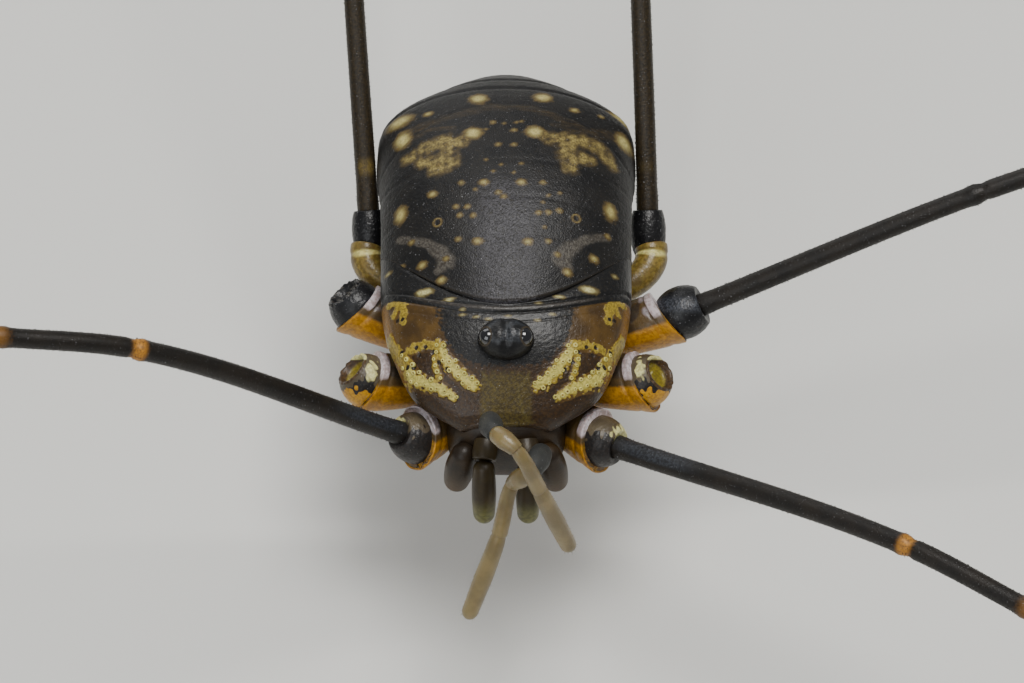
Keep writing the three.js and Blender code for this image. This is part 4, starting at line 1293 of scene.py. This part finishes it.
# Mouthparts: two chelicerae hang in the middle, blunt and brown with a clearer tip. The palps rise beside
# them and cross in front of the face, grey-black at the thigh and straw-tan and downy beyond.
CHELICERA = dict(start=(0.3, -1.06, 1.5), elbow=(0.34, -1.34, 1.38), tip=(0.34, -1.78, 0.36), radius=0.21)
PALP_COXA = dict(top=(0.62, -1.13, 1.42), foot=(0.8, -1.2, 0.42), radius=0.24)
PALPS = {  # joints from the thigh's root to the tip
    "left": (
        (0.56, -1.46, 1.78), (0.36, -2.0, 2.02), (0.1, -1.95, 1.6), (-0.1, -2.35, 0.85), (-0.6, -3.0, -0.55),
    ),
    "right": (
        (-0.25, -1.25, 2.3), (-0.15, -1.85, 2.85), (0.15, -2.15, 2.85), (0.5, -2.3, 2.0), (1.0, -2.35, 0.4),
    ),
}
PALP_RADII = {  # start, middle and end of each length, mm
    "femur": (0.17, 0.19, 0.15),
    "patella": (0.14, 0.155, 0.12),
    "tibia": (0.112, 0.120, 0.126),
    "tarsus": (0.126, 0.146, 0.126),
}
chelicera_shell = cuticle(
    "chelicera_shell",
    (0.040, 0.027, 0.009), (0.022, 0.015, 0.006), 0.42, 0.025, 0.002,
    [("clear", (0.150, 0.145, 0.042), (0.090, 0.085, 0.026), 0.2, 1.0)],
    coat=0.06,
)
palp_coxa_shell = cuticle(
    "palp_coxa_shell",
    (0.030, 0.017, 0.006), (0.014, 0.009, 0.005), 0.45, 0.025, 0.003,
    [("clear", (0.110, 0.060, 0.016), (0.060, 0.034, 0.011), 0.3, 1.0)],
    coat=0.06,
)
palp_dark_shell = cuticle(
    "palp_dark_shell",
    (0.022, 0.024, 0.024), (0.036, 0.037, 0.035), 0.55, 0.022, 0.004,
    speckle=0.04,
    painted_glints=0.06,
)
palp_pale_shell = cuticle(
    "palp_pale_shell",
    (0.215, 0.160, 0.062), (0.150, 0.110, 0.042), 0.40, 0.025, 0.002,
    glow=0.1,
    coat=0.2,
    shine=0.5,
)

# The face under the carapace's front edge: a dark rounded block that the chelicerae and palps stand against.
# It is partly the real face and partly painted shade, reaching on down as a dark fill for the shadow behind
# them.
FACE_CENTRE = np.array([0.0, -0.62, LIFT + 1.02])
FACE_HALF = np.array([0.92, 0.50, 0.72])
face_way = ball_grid(40, 80)
face_grid = FACE_CENTRE + np.sign(face_way) * np.abs(face_way) ** 0.75 * FACE_HALF
face_edge = np.clip(-face_way[..., 2] + 0.4, 0, 1) * 0.5
skin("face", face_grid, dict(clear=face_edge), (), palp_coxa_shell)


def mirrored(point, side):
    return np.array([side * point[0], point[1], LIFT + point[2]])


def blunt(t, start, end):
    """1 along a length, and falling to nothing at its ends as a circle does, over the given shares of it."""
    first = np.sqrt(np.clip(1 - (1 - t / start) ** 2, 0.02, 1)) * (t < start) + (t >= start) if start else 1
    left = (1 - t) / end
    last = np.sqrt(np.clip(1 - (1 - left) ** 2, 0.02, 1)) * (t > 1 - end) + (t <= 1 - end)
    return first * last


MOUTH_COLUMNS = 48
BASE_ROWS = 30
palp_lines = []
for side_name, side in SIDES.items():
    start, elbow, tip = (mirrored(CHELICERA[k], side) for k in ("start", "elbow", "tip"))
    t = np.linspace(0, 1, 110)
    girth = CHELICERA["radius"] - SKIN_DEPTH
    hand_radius = girth * (0.80 + 0.20 * np.sin(np.pi * t)) * blunt(t, 0.12, 0.14)
    hand = even(bend(elbow, tip, unit(tip - elbow + [0, -0.3, 0]), unit(tip - elbow + [0, 0.3, 0])), 110)
    clear = step_between(t, 0.35, 0.9)[:, None] * np.ones(MOUTH_COLUMNS)
    name = f"{side_name}_chelicera"
    hand_grid = tube(hand, hand_radius, MOUTH_COLUMNS, (0, 1, 0))
    skin(f"{name}_hand_skin", hand_grid, dict(clear=clear), [f"{name}_hand"], chelicera_shell)
    base_radius = girth * (0.95 + 0.08 * np.sin(np.pi * np.linspace(0, 1, BASE_ROWS)))
    base_grid = tube(np.linspace(start, elbow, BASE_ROWS), base_radius, MOUTH_COLUMNS)
    unclear = np.zeros((BASE_ROWS, MOUTH_COLUMNS))
    skin(f"{name}_base_skin", base_grid, dict(clear=unclear), [f"{name}_base"], chelicera_shell)
    top, foot = (mirrored(PALP_COXA[k], side) for k in ("top", "foot"))
    s = np.linspace(0, 1, 80)
    lobe_radius = (PALP_COXA["radius"] * (0.75 + 0.3 * np.sin(np.pi * s)) - SKIN_DEPTH) * blunt(s, 0.16, 0.16)
    lobe_grid = tube(np.linspace(top, foot, 80), lobe_radius, MOUTH_COLUMNS, (0, 1, 0))
    clear = (0.8 * s)[:, None] * np.ones(MOUTH_COLUMNS)
    name = f"{side_name}_palp_coxa"
    skin(f"{name}_skin", lobe_grid, dict(clear=clear), [name], palp_coxa_shell)
    joints = [np.array([x, y, LIFT + z]) for x, y, z in PALPS[side_name]]
    ways = [unit(b - a) for a, b in zip(joints, joints[1:])]
    turns = [ways[0]] + [unit(a + b) for a, b in zip(ways, ways[1:])] + [ways[-1]]
    for i, (part, radii) in enumerate(PALP_RADII.items()):
        path = even(bend(joints[i], joints[i + 1], turns[i], turns[i + 1], 0.3), 90)
        t = np.linspace(0, 1, 90)
        radius = np.interp(t, (0, 0.5, 1), radii) * (1 - 0.12 * np.exp(-((t / 0.06) ** 2)))
        radius = radius * (blunt(t, 0, 0.10) if part == "tarsus" else 1)
        shell = palp_dark_shell if part == "femur" else palp_pale_shell
        name = f"{side_name}_palp_{part}"
        skin(f"{name}_skin", tube(path, radius, 36, (1, 0.2, 0.1)), None, [name], shell)
        if part != "femur":
            palp_lines.append((path, radius))

down_frames, down_spots = strewn(palp_lines, 0.07, 12, 0.95, 0.05, 0.003, 5)
joined("palp_down", *hair_shape, down_frames, down_spots, palp_pale_shell)
